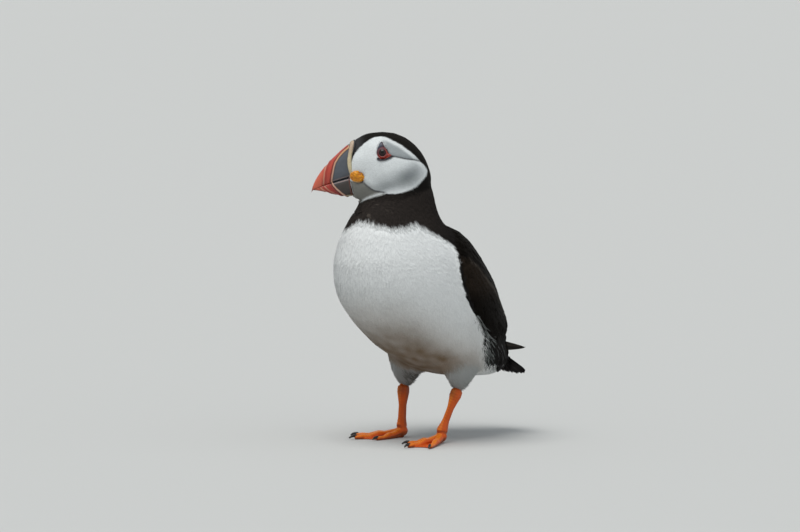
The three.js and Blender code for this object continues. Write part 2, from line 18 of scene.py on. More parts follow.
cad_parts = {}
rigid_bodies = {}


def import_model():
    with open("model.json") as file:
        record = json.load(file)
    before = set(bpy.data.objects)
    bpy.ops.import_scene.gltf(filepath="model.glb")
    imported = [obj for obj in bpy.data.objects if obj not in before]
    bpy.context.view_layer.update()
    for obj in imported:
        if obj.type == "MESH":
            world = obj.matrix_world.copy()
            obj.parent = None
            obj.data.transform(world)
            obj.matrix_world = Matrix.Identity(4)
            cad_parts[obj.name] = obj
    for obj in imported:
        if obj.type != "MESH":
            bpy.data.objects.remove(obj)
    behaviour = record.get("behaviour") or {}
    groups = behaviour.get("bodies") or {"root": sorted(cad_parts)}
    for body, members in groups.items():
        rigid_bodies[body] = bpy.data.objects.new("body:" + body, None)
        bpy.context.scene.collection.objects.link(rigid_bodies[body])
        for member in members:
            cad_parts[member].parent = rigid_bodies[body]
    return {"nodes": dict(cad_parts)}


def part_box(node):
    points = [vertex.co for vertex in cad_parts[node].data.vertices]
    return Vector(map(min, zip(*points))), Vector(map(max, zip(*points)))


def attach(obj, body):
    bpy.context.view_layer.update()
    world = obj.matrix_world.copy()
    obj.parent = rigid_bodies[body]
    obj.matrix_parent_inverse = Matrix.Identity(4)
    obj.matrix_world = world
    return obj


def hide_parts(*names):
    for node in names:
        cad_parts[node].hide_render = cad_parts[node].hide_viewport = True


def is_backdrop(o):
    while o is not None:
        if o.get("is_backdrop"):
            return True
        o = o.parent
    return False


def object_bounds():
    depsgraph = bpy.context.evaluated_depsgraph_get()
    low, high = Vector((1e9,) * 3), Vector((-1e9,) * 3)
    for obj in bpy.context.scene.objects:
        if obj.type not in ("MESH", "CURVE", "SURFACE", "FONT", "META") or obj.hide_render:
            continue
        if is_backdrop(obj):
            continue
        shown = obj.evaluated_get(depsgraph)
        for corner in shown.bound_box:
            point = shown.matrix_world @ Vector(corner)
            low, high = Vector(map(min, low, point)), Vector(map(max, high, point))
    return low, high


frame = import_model()
cad_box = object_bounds()
MM = 0.001
print("solids:", len(frame["nodes"]), "height mm:", round((cad_box[1].z - cad_box[0].z) / MM, 1))

# %% [markdown]
# ## Stage
# A museum figure is looked at under soft, even light on a plain pale surface. The lens is long, because a
# bird this small is looked at from a few metres away, and a long lens keeps its proportions true.

# %% Colours and plain finishes
def shade(code):
    """A colour written as six hex digits, as linear light."""
    values = np.array([int(code[i : i + 2], 16) / 255 for i in (0, 2, 4)])
    return np.where(values <= 0.04045, values / 12.92, ((values + 0.055) / 1.055) ** 2.4)


def linked(tree, *pairs):
    """Joins outputs to inputs in a node tree."""
    for start, end in pairs:
        tree.links.new(start, end)


def placed(name, data):
    """A new object of the scene for a mesh, a lamp or a camera."""
    thing = bpy.data.objects.new(name, data)
    bpy.context.collection.objects.link(thing)
    return thing


def plain_material(name, colour, roughness):
    """A material with one Principled shader, and its nodes for more work."""
    material = bpy.data.materials.new(name)
    material.use_nodes = True
    shader = material.node_tree.nodes["Principled BSDF"]
    shader.inputs["Base Color"].default_value = (*colour, 1)
    shader.inputs["Roughness"].default_value = roughness
    return material, material.node_tree, shader


print("middle grey as linear light:", shade("808080")[0].round(3))

# %% Floor
FLOOR_COLOUR, FLOOR_SIZE = shade("C9CAC8"), 60

bpy.ops.mesh.primitive_plane_add(size=FLOOR_SIZE, location=(0, 0, 0))
floor = bpy.context.active_object
floor.name = "floor"
floor.data.materials.append(plain_material("floor_paint", FLOOR_COLOUR, 0.9)[0])
floor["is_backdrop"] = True
print("floor, metres across:", FLOOR_SIZE)

# %% [markdown]
# ## Light
# The room gives an even, slightly blue light from all round, as a white ceiling and walls do. Two far lamps
# with a wide spread add a soft shadow. The backdrop is seen only by the camera and in gloss and glass, so its
# pale grey doesn't change how the bird is lit.

# %% Room and backdrop
SKY_COLOUR, SKY_STRENGTH = (0.86, 0.93, 1.0, 1), 0.36
BACKDROP_COLOUR = shade("D3D4D2")

world = bpy.data.worlds.new("room")
world.use_nodes = True
bpy.context.scene.world = world
room = world.node_tree
sky = room.nodes["Background"]
sky.inputs["Color"].default_value = SKY_COLOUR
sky.inputs["Strength"].default_value = SKY_STRENGTH
backdrop = room.nodes.new("ShaderNodeBackground")
backdrop.inputs["Color"].default_value = (*BACKDROP_COLOUR, 1)
rays = room.nodes.new("ShaderNodeLightPath")
choose = room.nodes.new("ShaderNodeMixShader")
seen = rays.outputs["Is Camera Ray"]
for kind in ("Is Glossy Ray", "Is Transmission Ray"):
    either = room.nodes.new("ShaderNodeMath")
    either.operation, either.use_clamp = "ADD", True
    linked(room, (seen, either.inputs[0]), (rays.outputs[kind], either.inputs[1]))
    seen = either.outputs["Value"]
linked(
    room,
    (seen, choose.inputs["Fac"]),
    (sky.outputs["Background"], choose.inputs[1]),
    (backdrop.outputs["Background"], choose.inputs[2]),
    (choose.outputs["Shader"], room.nodes["World Output"].inputs["Surface"]),
)
print("room light:", SKY_STRENGTH)


# %% Lamps
def direction(azimuth, elevation):
    """The way from the bird to a place at an azimuth and an elevation in degrees."""
    turn, tilt = math.radians(azimuth), math.radians(elevation)
    return Vector((math.sin(turn) * math.cos(tilt), -math.cos(turn) * math.cos(tilt), math.sin(tilt)))


def sun(name, azimuth, elevation, spread, strength, colour):
    """A far, soft lamp that lights bird and floor evenly."""
    light = bpy.data.lights.new(name, "SUN")
    light.angle, light.energy, light.color = math.radians(spread), strength, colour
    placed(name, light).rotation_euler = (-direction(azimuth, elevation)).to_track_quat("-Z", "Y").to_euler()
    print(name, "lamp at", azimuth, elevation)


sun("key", 14, 70, 40, 2.1, (1, 0.985, 0.96))
sun("fill", 105, 35, 80, 0.35, (0.93, 0.97, 1))

# %% Camera
LENS, SENSOR, FIELD = 200, 36, 592
AIM = Vector((-19.1, -13.2, 128.3)) * MM
towards = direction(50, 5)

camera = placed("camera", bpy.data.cameras.new("camera"))
camera.data.lens, camera.data.sensor_width = LENS, SENSOR
camera.location = AIM + towards * (FIELD * MM * LENS / SENSOR)
camera.rotation_euler = (-towards).to_track_quat("-Z", "Y").to_euler()
bpy.context.scene.camera = camera
bpy.context.scene.view_settings.view_transform = "Standard"
print("camera distance, metres:", round(FIELD * MM * LENS / SENSOR, 2))

# %% [markdown]
# ## Where things are on the bird
# The head is turned and nodded against the trunk, so marks on the face are given in the head's own frame:
# how far forward, left and up they lie from its middle. The eyes of the solids fix that frame.

# %% The head's frame
HEAD_TURN, HEAD_NOD = math.radians(-40), math.radians(20)
EYES_IN_HEAD = np.array([0, -2.2, 10.55]) * MM
eye_boxes = [corner for side in ("left", "right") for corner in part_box("eye_" + side)]
head_axes = np.array(Matrix.Rotation(HEAD_TURN, 3, "Z") @ Matrix.Rotation(HEAD_NOD, 3, "X"))
head_at = np.mean(eye_boxes, axis=0) - head_axes @ EYES_IN_HEAD


def in_head(points):
    """Points of the bird as forward, left and up in the head's frame, in millimetres."""
    local = (points - head_at) @ head_axes / MM
    return np.stack([-local[:, 1], local[:, 0], local[:, 2]], axis=1)


def from_head(marks):
    """Places in the head's frame, as forward, left and up in millimetres, as points of the bird."""
    marks = np.asarray(marks, float)
    local = np.stack([marks[:, 1], -marks[:, 0], marks[:, 2]], axis=1) * MM
    return local @ head_axes.T + head_at


print("middle of the head:", (head_at / MM).round(2))


# %% [markdown]
# ## Fields
# Markings, folds and grooves are all given as numbers over the surface: how near a point lies to a line, how
# far inside an outline, how high on a smooth hump. A few small functions do that for every part of the bird,
# so that a line drawn once serves for the colour, the relief and the edge of a coat of feathers.

# %% Helpers for fields over the surface
def blend(low, high, value):
    """Share from 0 to 1 that rises smoothly as the value goes from low to high."""
    share = np.clip((value - low) / (high - low), 0, 1)
    return share * share * (3 - 2 * share)


def mixed(first, second, share):
    """Rows of two colours, or of two vectors, mixed by a share for each row."""
    return first + (second - first) * np.asarray(share)[:, None]


def unit(rows):
    """Rows scaled to a length of 1."""
    return rows / np.linalg.norm(rows, axis=-1, keepdims=True)


def bump(value, half):
    """A smooth hump of height 1 over plus and minus half."""
    return np.clip(1 - (value / half) ** 2, 0, 1) ** 2


def haze(value, half):
    """A hump of height 1 with long soft tails."""
    return np.exp(-((value / half) ** 2))


def lumps(points, size, seed=0):
    """Smooth random field from -1 to 1 with lumps of a size in millimetres."""
    place = points / (size * MM) + 17.3 * seed
    cell = np.floor(place).astype(np.int64)
    part = place - cell
    part = part * part * (3 - 2 * part)
    field = np.zeros(len(points))
    for corner in np.ndindex(2, 2, 2):
        mark = (cell + corner) @ np.array([73856093, 19349663, 83492791])
        mark = (mark ^ (mark >> 13)) * 1274126177 & 0x7FFFFFFF
        value = (mark ^ (mark >> 16)) % 20011 / 10005 - 1
        field += value * np.prod(np.where(corner, part, 1 - part), axis=1)
    return field


# %% Helpers for lines and outlines
def side_view(points):
    """Points in the head's frame as forward and up alone."""
    return in_head(points)[:, [0, 2]]


def line_at(path, level):
    """How far forward, or back, a line that runs downwards lies at each level."""
    across, down = np.array(path[::-1]).T
    return np.interp(level, down, across)


def path_gap(places, path):
    """Distance from flat places to a path of straight pieces."""
    path = np.asarray(path, float)
    gap = np.full(len(places), np.inf)
    for start, end in zip(path[:-1], path[1:]):
        run = end - start
        share = np.clip((places - start) @ run / (run @ run), 0, 1)
        gap = np.minimum(gap, np.linalg.norm(places - start - share[:, None] * run, axis=1))
    return gap


def signed_gap(places, outline):
    """Distance to a closed outline, positive inside it."""
    outline = np.asarray(outline, float)
    within = np.zeros(len(places), bool)
    for (x0, y0), (x1, y1) in zip(outline, np.roll(outline, -1, axis=0)):
        crosses = (y0 > places[:, 1]) != (y1 > places[:, 1])
        rise = np.where(crosses, (places[:, 1] - y0) / (y1 - y0 + 1e-9), 0)
        within ^= crosses & (places[:, 0] < x0 + rise * (x1 - x0))
    gap = path_gap(places, np.vstack([outline, outline[:1]]))
    return np.where(within, gap, -gap)


print("hump at its middle and its rim:", bump(0, 1), bump(1, 1))

# %% [markdown]
# ## Markings
# Skin and feathers carry the same markings, so one function gives the colour of any point: the white face
# inside its black hood, the grey on the cheek and behind the eye, the collar, the white belly and the dark
# back. Lines are drawn in the head's frame on the face, and by height and depth on the body.

# %% Lines of the face
# forward and up in the head's frame, in millimetres
FACE = [
    (20.2, 17.9), (16.9, 19.7), (12, 21.7), (7.8, 22.8), (3.8, 22.9), (-0.5, 22), (-3.6, 20.2), (-6, 18),
    (-8.8, 15), (-11.7, 12), (-14.2, 8.3), (-16.8, 4.3), (-19.2, -0.2), (-20.9, -4.6), (-22.2, -7.8),
    (-23.2, -10.5), (-23.2, -13.1), (-21.8, -15.5), (-19.1, -17.2), (-15.2, -19.1), (-11.5, -20.4),
    (-7.2, -21.3), (-1.9, -21.4), (3.8, -20.5), (7.3, -19.3), (10.2, -18.4), (15.9, -18.5),
    (23, -18.3), (26, -18.7), (31.5, -19.5), (37, -12), (37, 12), (26, 12.4), (23.2, 15.6),
]
EYE_FURROW = [(-3, 6.8), (-7.6, 4), (-12.1, 1.1), (-17.2, -1.6), (-21, -4.3)]
CHEEK_EDGE = [(24.5, -2.2), (23.3, -3.7), (21.9, -6.3), (20.4, -8.8), (18.4, -12), (15.6, -14.3),
              (12.8, -15.7), (10.4, -17.4)]
CHIN = CHEEK_EDGE + [(16, -26), (40, -26), (40, 1)]
CHIN_SLIVER = [(27, -18.2), (22, -17.2), (16, -17.2), (12, -17.2)]
BILL_ROOT = [(19, 23.6), (21.4, 19.8), (23.9, 16), (25.7, 12.3), (27.2, 7.7), (29, 2.7), (31, -3), (33.5, -12)]
CERE_REAR = [(19, 23.8), (21.4, 19.8), (23.9, 16), (25.7, 12.3), (27.2, 7.7), (28.8, 2.7)]
CAP_HALF = 9.2
print("marks round the pale face:", len(FACE))

# %% Colours of the plumage
WHITE, FACE_GREY, CHIN_GREY, CHEEK_SMOKE = shade("E4E8E8"), shade("92989A"), shade("8A8983"), shade("6C7172")
CHEEK_CREASE_SHADE, FURROW_SHADE = shade("36373A"), shade("26272B")
HOOD, FOREHEAD, COLLAR_BROWN = shade("171513"), shade("4C4B4D"), shade("322D2A")
BACK_BLACK, BROWN_SPECK = shade("191717"), shade("6A625A")
WING_BROWN, WING_PATCH, WING_LINE = shade("110E0B"), shade("2A221B"), shade("6E665E")
BREAST, BELLY_STAIN_AND_SHADE, THIGH_GREY, THIGH_SHADE = shade("F0F2F1"), shade("6A5438"), shade("A9ABA9"), shade("4C4843")
print("light of the breast and the hood:", BREAST.mean().round(2), HOOD.mean().round(3))


# %% Colour of the face
def face_colour(points):
    """Colour of the head, and the share of each point that is inside the pale face."""
    forward, left, up = in_head(points).T
    side = side_view(points)
    ragged = 0.2 * lumps(points, 1.1, 3)
    edge = signed_gap(side, FACE)
    cap = np.abs(left) - CAP_HALF - 0.25 * np.clip(-forward - 6, 0, 9) + 0.2 * np.clip(forward - 8, 0, 12)
    over_cheek = blend(-2, 4, up)
    pale = blend(-0.35, 0.35, edge + ragged)
    pale *= np.where(over_cheek > 0, blend(-0.4, 0.4, cap + ragged + 8 * (1 - over_cheek)), 1)

    def patch(at, size):
        return haze(forward - at[0], size[0]) * haze(up - at[1], size[1])

    above_furrow = blend(-0.2, 0.5, up - np.interp(forward, *np.array(EYE_FURROW[::-1]).T))
    grey = 0.9 * above_furrow * blend(2, -3, forward) * blend(24, 16, up)
    grey += 0.85 * patch((-9.5, -11), (9.5, 6)) + 0.6 * patch((9, -12.5), (9, 5)) + 0.25 * patch((-16, -6), (4, 6))
    rim = (1 - blend(1.2, 3.2, edge)) * blend(-6, 0, -forward - 2)
    colour = mixed(WHITE, FACE_GREY, np.clip(grey * (1 - 0.85 * rim), 0, 1))
    colour = mixed(colour, CHEEK_SMOKE, 0.36 * patch((-8.5, -11.5), (9, 5)))
    chin_tone = mixed(CHIN_GREY, WHITE * 0.8, haze(path_gap(side, CHIN_SLIVER), 1.1))
    colour = mixed(colour, chin_tone, blend(-0.4, 0.6, signed_gap(side, CHIN)))
    # painted shade along the crease at the cheek's edge and in the furrow behind the eye, both also pressed into the
    # skin
    colour = mixed(colour, CHEEK_CREASE_SHADE, 0.9 * haze(path_gap(side, CHEEK_EDGE), 0.75))
    colour = mixed(colour, FURROW_SHADE, 0.95 * haze(path_gap(side, EYE_FURROW), 0.62))
    hood = mixed(HOOD, FOREHEAD, 0.75 * blend(9, 20, forward) * blend(16, 22, up))
    hood = mixed(hood, COLLAR_BROWN, 0.6 * blend(-12, -24, up) * blend(-12, 6, forward))
    return mixed(hood, colour, pale), pale


CHEEK_MIDDLE = from_head([(0, 18, -5)])
print("share of pale at the middle of the cheek:", face_colour(CHEEK_MIDDLE)[1].round(2))

# %% [markdown]
# ## Markings of the body
# The collar is given by its height at each turn round the neck, and the edge of the white flank by its depth
# at each height. The belly turns brown low down, more so towards the legs: partly stain, partly painted shade
# with a painted brown reflection from the ground below. The thighs are grey, with painted shade on their inner
# side and low down, broken into darker streaks. The folded wing has a browner patch that ends at a paler line along
# the mantle.

# %% Lines of the body
COLLAR_TURN = [-125, -110, -80, -45, -20, -8, 2, 21, 43, 54, 73, 85, 96, 110, 125]
COLLAR_HEIGHT = [146, 151, 158, 158.5, 157, 161.4, 165, 163.3, 160.4, 160, 161, 162.5, 159.6, 154.1, 146]
FLANK_HEIGHT = [40, 50.5, 55, 57.5, 59, 61, 71.4, 79.4, 87.7, 97.6, 109, 118, 133, 145, 152, 158, 170]
FLANK_DEPTH = [50, 49.5, 45, 38, 28, 22, 15.5, 13.5, 9.2, 1.7, -5.5, -9.4, -10.9, -11, -18, -29, -50]
MANTLE_EDGE = [(-12, 143.5), (-9, 139), (-2.4, 136.5), (7, 128.3), (14.2, 120.1), (21.1, 114.9), (31, 100)]
NECK_AXIS = -36
TAIL_ROOT, TAIL_SLOPE = (37.65, 74), math.radians(34)


def behind_flank(y, z):
    """How far places, in millimetres, lie behind the edge of the white flank."""
    return y - np.interp(z, FLANK_HEIGHT, FLANK_DEPTH)


print("marks along the collar and the flank:", len(COLLAR_TURN), len(FLANK_HEIGHT))


# %% Colour of belly and thighs
def pale_below(points, thigh):
    """Colour of the white parts: the breast, the belly with stain and painted shade low down, and the grey thighs
    with painted shade between the legs.
    """
    x, y, z = points.T / MM
    # darker and browner low on the belly: partly stain, partly painted shade and a painted brown reflection from the
    # ground
    low = blend(126, 66, z) * blend(34, 8, y + 0.35 * (z - 60)) * blend(52, 26, np.abs(x))
    tone = mixed(BREAST, BELLY_STAIN_AND_SHADE, 0.88 * low * (1 + 0.12 * lumps(points, 6, 7)))
    tone = mixed(tone, THIGH_GREY, np.clip(1.2 * thigh, 0, 1))
    # painted shade on the thighs' inner side between the legs and low down, broken into streaks
    inner = blend(26, 15, np.abs(x)) * blend(58, 46, z)
    streaks = blend(-0.2, 0.8, lumps(points * (1, 1, 0.35), 1.6, 8))
    painted_thigh_shade = thigh * (0.75 * inner + 0.45 * blend(50, 38, z)) * (0.5 + streaks)
    return mixed(tone, THIGH_SHADE, np.clip(painted_thigh_shade, 0, 0.85))


BELLY_MIDDLE = np.array([[0, 0, 60]]) * MM
print("light under the belly:", pale_below(BELLY_MIDDLE, np.zeros(1)).mean().round(2))


# %% Colour of collar, back and wings
def dark_above(points, wing, turn, flank):
    """Colour of the dark parts: the collar with its brown specks, the black back and the wings."""
    x, y, z = points.T / MM
    speckle = blend(0.45, 0.8, lumps(points, 2.2, 9)) * blend(-60, -25, -np.abs(turn)) * (1 - flank)
    black = mixed(BACK_BLACK, COLLAR_BROWN, blend(140, 165, z) * blend(10, -34, y))
    black = mixed(black, BROWN_SPECK, 0.4 * speckle)
    patch = blend(1.5, -1.5, y - line_at(MANTLE_EDGE, z)) * blend(103, 120, z)
    patch *= 0.8 + 0.3 * lumps(points, 4, 10)
    brown = mixed(WING_BROWN, WING_PATCH, np.clip(patch, 0, 1))
    line_gap = path_gap(np.stack([y, z], axis=1), MANTLE_EDGE[2:])
    line = bump(line_gap + 0.5 * lumps(points, 5, 11), 1.7) * blend(0.5, 0.9, wing)
    brown = mixed(brown, WING_LINE, 0.36 * line * (0.8 + 0.3 * lumps(points, 2.5, 12)))
    return mixed(black, brown, blend(0.3, 0.7, wing))


def body_colour(points, wing, thigh):
    """Colour of the neck, trunk, wings and thighs, from each point's share of wing and of thigh."""
    x, y, z = points.T / MM
    turn = np.degrees(np.arctan2(x, -(y - NECK_AXIS)))
    ragged = 1.3 * lumps(points, 1.6, 5) + 0.9 * lumps(points, 5, 6)
    collar = blend(-0.8, 0.8, z - np.interp(turn, COLLAR_TURN, COLLAR_HEIGHT) + ragged)
    flank = blend(-1, 1, behind_flank(y, z) + ragged)
    dark = np.maximum(np.maximum(collar, flank), blend(0.4, 0.6, wing))
    return mixed(pale_below(points, thigh), dark_above(points, wing, turn, flank), dark)


def markings(points, wing, thigh):
    """Colour of any point of the skin or of a feather's root."""
    up = side_view(points)[:, 1]
    face, pale = face_colour(points)
    hood = blend(181, 186, points[:, 2] / MM + 0.35 * np.clip(-18 - points[:, 1] / MM, -20, 12))
    return mixed(body_colour(points, wing, thigh), face, np.maximum(hood * (up > -26), pale))


print("light at the middle of the cheek:", markings(CHEEK_MIDDLE, np.zeros(1), np.zeros(1)).mean().round(2))

# %% [markdown]
# ## Skin
# The flesh of the solids is cut into nodes, and each has flat facets. Copies of them are swollen a little
# until they overlap, joined, and remeshed as one closed skin. It is smoothed, most where the bird is
# roundest, and drawn in by the depth of the coat, so that the feathers' tips come out to the true outline.

# %% Helpers for meshes
def select_only(*things):
    """Deselects everything else, and makes the first thing active."""
    bpy.ops.object.select_all(action="DESELECT")
    for thing in things:
        thing.select_set(True)
    bpy.context.view_layer.objects.active = things[0]


def in_edit_mode(thing, *steps):
    """Runs edit-mode operators on the whole of one mesh."""
    select_only(thing)
    bpy.ops.object.mode_set(mode="EDIT")
    bpy.ops.mesh.select_all(action="SELECT")
    for step in steps:
        step()
    bpy.ops.object.mode_set(mode="OBJECT")


def modified(thing, kind, **settings):
    """Adds a modifier with its settings and applies it."""
    select_only(thing)
    modifier = thing.modifiers.new(kind.title(), kind)
    for name, value in settings.items():
        setattr(modifier, name, value)
    bpy.ops.object.modifier_apply(modifier=modifier.name)


def points_of(thing, what="co"):
    """A mesh's vertex places or normals as an array."""
    found = np.empty(len(thing.data.vertices) * 3, np.float32)
    source = thing.data.vertices if what == "co" else thing.data.vertex_normals
    source.foreach_get(what if what == "co" else "vector", found)
    return found.reshape(-1, 3).astype(float)


def set_points(thing, places):
    """Moves a mesh's vertices."""
    thing.data.vertices.foreach_set("co", np.asarray(places, np.float32).ravel())
    thing.data.update()


def joined_copy(name, nodes, swell):
    """Copies of solids as one object, their doubles merged, each swollen by a length in millimetres."""
    copies = []
    for node in nodes:
        copy = placed(name, frame["nodes"][node].data.copy())
        in_edit_mode(copy, lambda: bpy.ops.mesh.remove_doubles(threshold=0.01 * MM))
        set_points(copy, points_of(copy) + swell * MM * points_of(copy, "normal"))
        copies.append(copy)
    select_only(*copies)
    if len(copies) > 1:
        bpy.ops.object.join()
    copies[0].data.materials.clear()
    return copies[0]


def remeshed(thing, voxel):
    """One closed shell round the piece, in triangles, without the bubbles inside."""
    select_only(thing)
    thing.data.remesh_voxel_size = voxel * MM
    bpy.ops.object.voxel_remesh()
    in_edit_mode(thing, lambda: bpy.ops.mesh.separate(type="LOOSE"))
    shells = sorted(bpy.context.selected_objects, key=lambda shell: -len(shell.data.vertices))
    for bubble in shells[1:]:
        bpy.data.objects.remove(bubble)
    in_edit_mode(shells[0], bpy.ops.mesh.quads_convert_to_tris)
    return shells[0]


# %% One skin from the flesh nodes
FLESH = ["head", "crown", "neck", "back", "trunk", "thigh_left", "thigh_right", "wing_left", "wing_right"]
SWELL, VOXEL = 0.25, 1.1

skin = remeshed(joined_copy("skin", FLESH, SWELL), VOXEL)
skin.name = "skin"
print("skin:", len(skin.data.vertices), "vertices")


# %% Which flesh each point of the skin belongs to
def tree_of(nodes):
    """Nearest-point search over solids, with the node of each triangle."""
    places, faces, owner = [], [], []
    for node in nodes:
        mesh = frame["nodes"][node].data
        faces += [[len(places) + i for i in face.vertices] for face in mesh.polygons]
        owner += [node] * len(mesh.polygons)
        places += [vertex.co.copy() for vertex in mesh.vertices]
    return BVHTree.FromPolygons(places, faces), owner


def shares(thing, tree, owner, names):
    """For each vertex, 1 where the nearest solid is one of the names."""
    near = [tree.find_nearest(vertex.co)[2] for vertex in thing.data.vertices]
    return np.array([owner[i].startswith(names) for i in near], float)


flesh_tree, flesh_owner = tree_of(FLESH)
wing_share = shares(skin, flesh_tree, flesh_owner, "wing")
thigh_share = shares(skin, flesh_tree, flesh_owner, "thigh")
head_share = shares(skin, flesh_tree, flesh_owner, ("head", "crown"))
print("wing", wing_share.mean().round(3), "thigh", thigh_share.mean().round(3), "head", head_share.mean().round(3))


# %% [markdown]
# ## Smooth skin
# Facets and seams of the solids would show through the plumage. Averaging each point with its neighbours
# takes them away. It is done most where the bird is roundest, and little on the head, wings and thighs, which
# would lose their shape. Each vertex keeps a share of wing, thigh and head, so that later steps know the part.

# %% Averages along the edges
def edges_of(thing):
    """A mesh's edges as pairs of vertex numbers."""
    found = np.empty(len(thing.data.edges) * 2, np.int32)
    thing.data.edges.foreach_get("vertices", found)
    return found.reshape(-1, 2)


def relaxed(values, edges, rounds, share=0.5):
    """Rows averaged with their neighbours along the edges, a number of times."""
    values = np.array(values, float).reshape(len(values), -1)
    share = np.broadcast_to(share, len(values))[:, None]
    first, second = edges.T
    count = np.bincount(edges.ravel(), minlength=len(values))[:, None]
    for _ in range(rounds):
        total = [
            np.bincount(first, column[second], len(values)) + np.bincount(second, column[first], len(values))
            for column in values.T
        ]
        values = values + share * (np.stack(total, axis=1) / count - values)
    return values


# %% Smooth the skin
skin_edges = edges_of(skin)
wing_share = relaxed(wing_share, skin_edges, 3)[:, 0]
thigh_share = relaxed(thigh_share, skin_edges, 12)[:, 0]
head_share = relaxed(head_share, skin_edges, 6)[:, 0]
near_wing = relaxed(wing_share > 0.02, skin_edges, 10)[:, 0]
open_body = np.clip(1 - 1.4 * head_share - 1.4 * near_wing - 0.6 * thigh_share, 0, 1)
places = relaxed(points_of(skin), skin_edges, 8)
places = relaxed(places, skin_edges, 60, 0.5 * open_body)
places = relaxed(places, skin_edges, 14, 0.5 * near_wing)
set_points(skin, places)
print("share of open body:", open_body.mean().round(2))

# %% [markdown]
# ## Depth of the coat
# Plumage hides the skin under it: on the breast of a real puffin the skin lies well below the tips of the
# feathers, and on the face they are as short as velvet. So the skin is drawn in by the coat's depth at each
# place. Near the bill the depth runs out, because the feathers there end in a fine low edge.

# %% Draw the skin in by the coat's depth
COAT = {"face": 0.5, "neck": 2.0, "breast": 2.6, "wing": 1.5, "thigh": 2.2, "bill": 0.35}


def coat_depth(points, wing, thigh, head):
    """How far the feathers' tips stand off the skin, in millimetres."""
    forward, up = side_view(points).T
    depth = COAT["neck"] + (COAT["breast"] - COAT["neck"]) * blend(165, 140, points[:, 2] / MM)
    depth += (COAT["wing"] - depth) * wing
    depth += (COAT["thigh"] - depth) * thigh
    depth += (COAT["face"] - depth) * head
    bill_gap = path_gap(side_view(points), BILL_ROOT)
    near_bill = (1 - blend(1, 6, bill_gap)) * blend(10, 14, forward) * blend(-22, -17, up)
    return depth + (COAT["bill"] - depth) * near_bill


normals = points_of(skin, "normal")
depth = relaxed(coat_depth(places, wing_share, thigh_share, head_share), skin_edges, 10)[:, 0]
places = places - depth[:, None] * MM * normals
print("depth of the coat, mm:", depth.min().round(2), "to", depth.max().round(2))

# %% [markdown]
# ## Relief of the face and the fit to the bare parts
# A furrow runs back from the eye and a crease bounds the cheek, with a swollen fold behind it. They are
# pressed into the skin, since feathers follow it. Then the skin is fitted to its neighbours: thighs narrow to
# the legs, the skin ends behind the cere, and the vent is lifted up to the underside of the tail.

# %% Press the lines of the face
FURROW, CREASE, FOLD, BROW = 0.55, 0.9, 0.7, 1.4
FOLD_BEHIND, FOLD_HALF = 3.2, 2.2

forward, left, up = in_head(places).T
flat = side_view(places)
furrow = FURROW * haze(path_gap(flat, EYE_FURROW), 0.9) * blend(-22, -19, forward)
cheek_gap = path_gap(flat, CHEEK_EDGE)
crease = CREASE * haze(cheek_gap, 1.2) * blend(-18.5, -16, up)
swollen = FOLD * haze(cheek_gap - FOLD_BEHIND, FOLD_HALF) * blend(-16, -12, up)
swollen *= signed_gap(flat, CHIN) < 0
brow = BROW * blend(8, 18, forward) * blend(12, 19, up)
relief = (swollen - furrow - crease) * blend(6, 9, np.abs(left)) * head_share - brow
places += relief[:, None] * MM * normals
print("relief of the face, mm:", relief.min().round(2), "to", relief.max().round(2))

# %% Fit the skin to legs, bill and tail
THIGH_DRAW = 0.26
UNDER_THIGH = {1: (25.5, 3.7), -1: (-24.5, -5.4)}
CERE_OVERLAP, TAIL_OVERLAP = 0.3, 1.2

for side, heel in UNDER_THIGH.items():
    drawn_in = THIGH_DRAW * blend(56, 40, places[:, 2] / MM) * np.clip(1.5 * thigh_share, 0, 1)
    drawn_in *= side * places[:, 0] > 0
    places[:, :2] += drawn_in[:, None] * (np.array(heel) * MM - places[:, :2])
past_cere = np.clip(forward - line_at(CERE_REAR, up) - CERE_OVERLAP, 0, None) * blend(0.5, 2.5, up) * head_share
places -= past_cere[:, None] * (from_head([(1, 0, 0)]) - from_head([(0, 0, 0)]))
tail_level = TAIL_ROOT[1] - (places[:, 1] / MM - TAIL_ROOT[0]) * math.tan(TAIL_SLOPE) - TAIL_OVERLAP
lift = blend(50, 57, places[:, 1] / MM) * np.clip(tail_level - places[:, 2] / MM, 0, None)
places[:, 2] += lift * MM
places = relaxed(places, skin_edges, 2)
set_points(skin, places)
print("most behind the cere and under the tail, mm:", past_cere.max().round(1), lift.max().round(1))

# %% [markdown]
# ## Map and tint of the skin
# Every piece needs a flat map, so that each finish can be baked into an image. The skin's is cut by the
# angles of its faces, and each feather later borrows the spot of the skin it grows from. The markings are
# stored as a tint at each vertex, which costs no image and lets skin and feathers agree.

# %% Unwrap the skin and tint it
skin.data.polygons.foreach_set("use_smooth", np.ones(len(skin.data.polygons), bool))
skin_places, skin_normals = points_of(skin), points_of(skin, "normal")
skin_faces = np.array([face.vertices[:] for face in skin.data.polygons])
skin_fields = {"wing": wing_share, "thigh": thigh_share, "head": head_share, "depth": depth}

in_edit_mode(skin, lambda: bpy.ops.uv.smart_project(angle_limit=math.radians(70), island_margin=0.002))
skin.data.uv_layers[0].name = "OFBake"
skin_map = np.empty(len(skin.data.loops) * 2, np.float32)
skin.data.uv_layers[0].data.foreach_get("uv", skin_map)
skin_map = skin_map.reshape(-1, 3, 2)


def tinted(thing, colours):
    """Stores a colour for each vertex, which the material reads."""
    layer = thing.data.color_attributes.new("tint", "FLOAT_COLOR", "POINT")
    layer.data.foreach_set("color", np.c_[colours, np.ones(len(colours))].astype(np.float32).ravel())


tinted(skin, markings(skin_places, wing_share, thigh_share))
print("skin drawn in, unwrapped:", len(skin_faces), "faces")

# %% [markdown]
# ## Feather finish
# Feathers scatter light softly and have a fine grain of barbs. One node group makes that grain as a mask and
# a normal, and each finish takes its colour from the tint stored in the mesh. The grain reads the place on the
# piece itself, so it stays put when the bird is turned.

